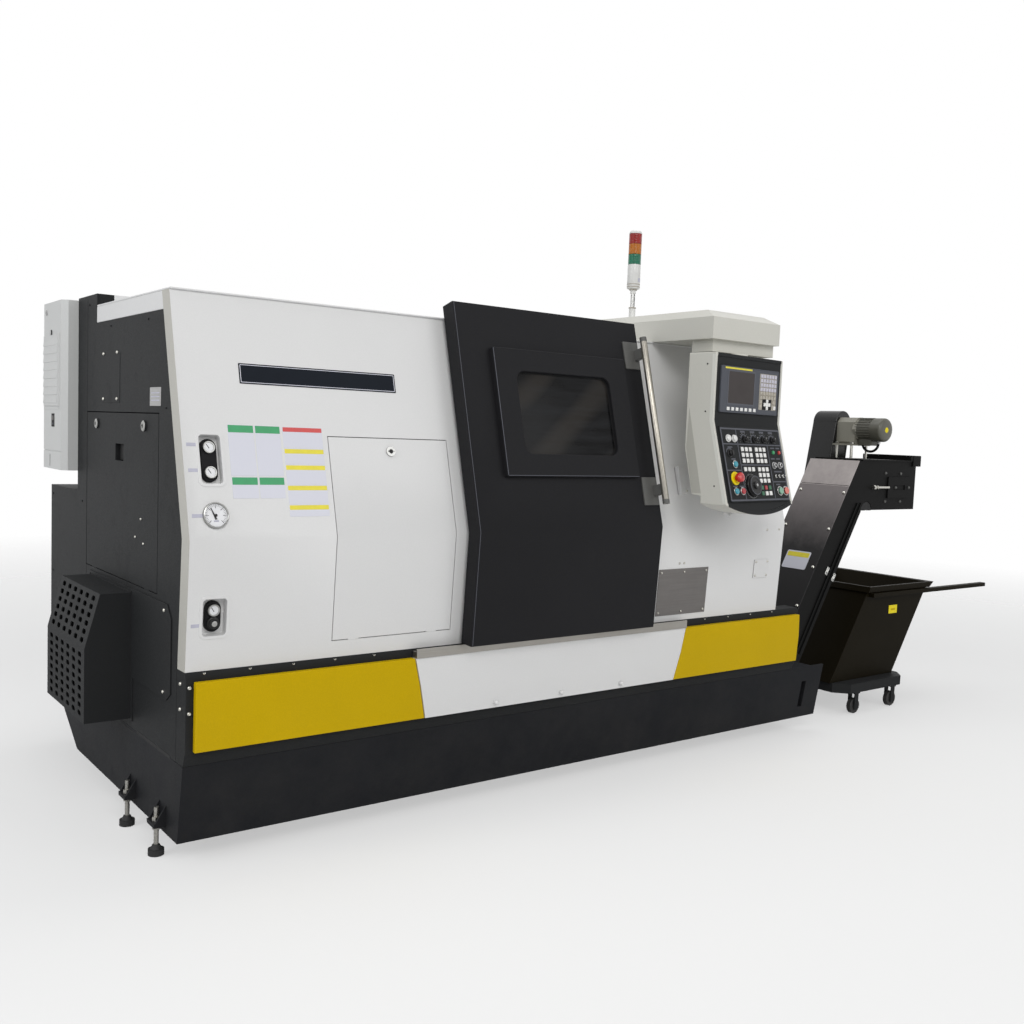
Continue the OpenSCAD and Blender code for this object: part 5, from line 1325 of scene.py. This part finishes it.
        # moving controls
        place = panel(*CONTROL["estop"])
        f = Form("stop_mushroom")
        head = [(9, 0.4), (9, 15), (19, 16.5), (20, 19), (20, 29), (18, 34), (12, 37), (0, 38)]
        f.turned(PANEL, *place, head, "red", 36)
        f.turned(PANEL, *place, [(8, 37), (8, 37.9), (6.5, 38), (0, 38)], "dark_red", 24)
        f.done("estop", ("estop_button",))
        place = panel(*CONTROL["hand"])
        f = Form("hand_dial")
        dial = [(14, 0.4), (14, 4), (42, 4), (44, 5.5), (44, 9), (42, 11), (42, 17.5), (40.5, 20), (30, 20),
                (28.5, 18.6), (17, 18.6), (16, 20), (16, 24.4), (14, 26), (0, 26)]
        f.turned(PANEL, *place, dial, "knob_black", 60)
        f.turned(PANEL, *place, [(40, 19.8), (40, 20.4), (37, 20.4), (37, 19.8)], "line_grey", 60)
        f.turned(PANEL, *place, [(6, 25.8), (6, 26.8), (4.6, 27.4), (0, 27.4)], "plate_grey", 24)
        f.done("handwheel", ("handwheel",))
        knob = [(13, 0.4), (13, 6), (12, 8.5), (9.6, 9.4), (9.2, 16.5), (8.2, 18), (0, 18)]
        for key, node in zip(SWITCHES, ("mode_knob", "feed_knob", "rapid_knob", "spindle_knob")):
            u, v = panel(*CONTROL[key])
            f = Form(node + "_cap")
            f.turned(PANEL, u, v, knob, "knob_black", 30)
            f.plate(PANEL, 4.6, 18, u, v, 17.5, 20, "knob_black", 1.6, 0.6)
            f.plate(PANEL, 1.6, 6, u, v + 5.5, 19.8, 20.3, "tick_white", 0.5, 0.1)
            f.done(key + "_switch", (node,))
        cap = [(8, 5), (8, 5.2), (14.6, 5.2), (15, 6), (15, 8.6), (13.6, 10), (9, 9.6), (0, 9.4)]
        for key, name in (("start", "start_green"), ("stop", "stop_salmon")):
            f = Form("cycle_" + key + "_cap")
            f.turned(PANEL, *panel(*CONTROL[key]), cap, name, 30)
            f.done(key + "_button", ("cycle_" + key,))
        return {"FINISHED"}


class LATHE_OT_conveyor(bpy.types.Operator):
    """Chip conveyor with cover plates, chain guard and gear motor"""
    bl_idname = "lathe.conveyor"
    bl_label = "Chip conveyor"

    def execute(self, context):
        sizes = context.scene.lathe_sizes
        dress("conveyor_trough", "conveyor_black", 0.8)
        dress("conveyor_cover", "cover_metal", 0.4)
        dress("chain_guard", "guard_black", 2.4, 3)
        rows = [(RUN, u, v, 5) for u in (18, 297) for v in (290, 516, 743, 965)]
        scatter("conveyor_screws", "dome", sizes.screw * 1.4, rows, "machine", "screw_zinc")
        rows = [(CONV, x, z, 0) for x, z in ((3990, 1282), (4133, 1280), (3998, 1126), (4141, 1125))]
        rows += [(CONV, 4206, 1203, 8), (CONV, 4086, 1203, 4)]
        scatter("head_screws", "dome", sizes.screw * 1.3, rows, "machine", "bracket_grey")

        f = Form("take_up")
        bolt_y, bolt_z = 209, 1204
        for x, length, r, seg in ((3882, 130, 7, 16), (3866, 18, 12.5, 6), (3898, 8, 11.5, 6)):
            f.tube([(x, bolt_y, bolt_z), (x + length, bolt_y, bolt_z)], r, "screw_zinc", seg)
        f.arc(CONV, 3830, 1078, 4, 46, 0, 180, -2.8, -1.8, "dark_hole")
        f.plate(CONV, 74, 60, 4272, 1352, -20, 10, "conveyor_black", 3, 1.2)
        for x, z in ((3519, 762), (3576, 725)):
            clip = Spot((x, CONV_FRONT, z), (math.sin(RISE), 0, -math.cos(RISE)), SLOPE)
            f.plate(clip, 20, 46, 0, 0, -0.5, 4, "chrome", 3, 0.8)
            f.plate(clip, 8, 30, 0, 4, 3.8, 9, "chrome", 3, 0.8)
        f.done("machine")
        f = Form("blank_run_plate")
        f.plate(RUN, 152, 104, 178, 545, 4.8, 6.2, "field_pale", 9, 0.3)
        f.plate(RUN, 138, 27, 178, 576, 6, 6.6, "field_yellow", 4, 0.2)
        f.done("machine")

        # gear motor: eight-sided gear case on its foot, motor, fins, fan cowl and supply loop
        x0, z0, back, radius = 4006, 1518, 525, 63
        rows = []
        axis = front_at(x0, back - 165, z0)
        box_from, box_to = 3.9, 5.5
        for i in range(sizes.fins):
            a = 2 * math.pi * i / sizes.fins
            if not box_from < a < box_to:
                out = axis.u * math.cos(a) + axis.v * math.sin(a)
                rows.append((axis.at(radius * math.cos(a), radius * math.sin(a)), out, axis.n.cross(out)))
        grow("motor_fins", "fin", 1.0, rows, "machine", "motor_olive")
        f = Form("gear_motor")
        gear = front_at(x0, back - 118, z0)
        case = [(44, -70), (44, 40), (18, 66), (-30, 66), (-56, 40), (-56, -70), (-46, -81), (34, -81)]
        f.prism(gear, case, -118, 0, "gear_olive")
        f.turned(gear, 0, 0, [(66, -14), (68, -12), (68, 9), (65, 12), (63.2, 12)], "gear_olive", 8)
        f.prism(gear, [(80, -91), (80, -81), (-90, -81), (-90, -91)], -118, 12, "gear_olive")
        motor = [(62.5, -2), (62.5, 96), (65.5, 97), (65.5, 148), (64, 155), (58, 161), (49, 164),
                 (30, 165), (0, 165)]
        f.turned(gear, 0, 0, motor, "motor_olive", 48)
        f.prism(gear, [(34, -88), (34, -54), (-34, -54), (-34, -88)], 12, 92, "motor_olive")
        for x in (x0 - 76, x0 + 64):
            for y in (back - 116, back - 20):
                f.tube([(x, y, 1356), (x, y, 1447)], 7, "screw_zinc", 14)
                f.tube([(x, y, 1437), (x, y, 1446)], 11.5, "screw_zinc", 6)
        cowl = front_at(x0, back - 282, z0)
        f.turned(cowl, 0, 0, [(15, -0.6), (15, 1.2), (13, 2), (0, 2)], "stop_yellow", 28)
        low = z0 - radius - 14
        mid, reach, drop = back - 186, 50, 44
        turn = [k * math.pi / 20 for k in range(21)]
        f.tube([(x0, mid + reach * math.cos(a), low - drop * math.sin(a)) for a in turn], 7, "gasket", 14)
        for y in (mid - reach, mid + reach):
            f.tube([(x0, y, low + 1), (x0, y, low + 16)], 11, "plate_grey", 6)
        f.done("machine", ("conveyor_motor",))
        return {"FINISHED"}


class LATHE_OT_cart(bpy.types.Operator):
    """Chip cart: dolly, hopper with rim and handle, and its casters"""
    bl_idname = "lathe.cart"
    bl_label = "Chip cart"

    def execute(self, context):
        dress("cart_dolly", "black_coat", 1.0)
        dress("chip_bin", "bin_black", 0.7)
        f = Form("bin_plate")
        front = front_at(0, 177, 0)
        f.plate(front, 78, 46, 4078, 527, -0.3, 1.2, "stop_yellow", 2, 0.3)
        f.plate(front, 40, 9, 4078, 527, 1.0, 1.5, "band_yellow", 1, 0.1)
        f.done("cart")
        tyre = [(7.4, -16), (16, -16), (16, -13), (30, -12), (32, -13.6), (38, -13.6), (41, -10), (41, 10),
                (38, 13.6), (32, 13.6), (30, 12), (16, 13), (16, 16), (7.4, 16)]
        mid_x, mid_y, half_x, half_y, axle = 3855, 492, 166, 365, 41
        for i, (sx, sy) in enumerate(((-1, -1), (1, -1), (-1, 1), (1, 1))):
            node = "cart_wheel_%d" % (i + 1)
            f = Form(node + "_tyre")
            hub = front_at(mid_x + sx * half_x, mid_y + sy * half_y, axle)
            f.turned(hub, 0, 0, tyre, "wheel_rubber", 40)
            f.done("wheel_" + "abcd"[i], (node,))
        return {"FINISHED"}


class LATHE_PT_panel(bpy.types.Panel):
    """Sidebar with the sizes, the colours and the pieces"""
    bl_idname = "LATHE_PT_panel"
    bl_label = "Turning lathe"
    bl_space_type = "VIEW_3D"
    bl_region_type = "UI"
    bl_category = "Lathe"

    def draw(self, context):
        box = self.layout.column(align=True)
        for group in (context.scene.lathe_sizes, context.scene.lathe_colours):
            for key in group.bl_rna.properties.keys():
                if key not in ("rna_type", "name"):
                    box.prop(group, key)
        for cls in STEPS:
            box.operator(cls.bl_idname)


STEPS = (LATHE_OT_casework, LATHE_OT_chamber, LATHE_OT_doors, LATHE_OT_cover_trim, LATHE_OT_left_end,
         LATHE_OT_apron_trim, LATHE_OT_tower, LATHE_OT_pendant, LATHE_OT_conveyor, LATHE_OT_cart,
         LATHE_OT_stage)
CLASSES = (LatheSizes, LatheColours, *STEPS, LATHE_PT_panel)


def register():
    for cls in CLASSES:
        bpy.utils.register_class(cls)
    bpy.types.Scene.lathe_sizes = bpy.props.PointerProperty(type=LatheSizes)
    bpy.types.Scene.lathe_colours = bpy.props.PointerProperty(type=LatheColours)


def unregister():
    del bpy.types.Scene.lathe_colours
    del bpy.types.Scene.lathe_sizes
    for cls in reversed(CLASSES):
        bpy.utils.unregister_class(cls)


def main():
    register()
    for cls in STEPS:
        group, name = cls.bl_idname.split(".")
        getattr(getattr(bpy.ops, group), name)()


if __name__ == "__main__":
    main()
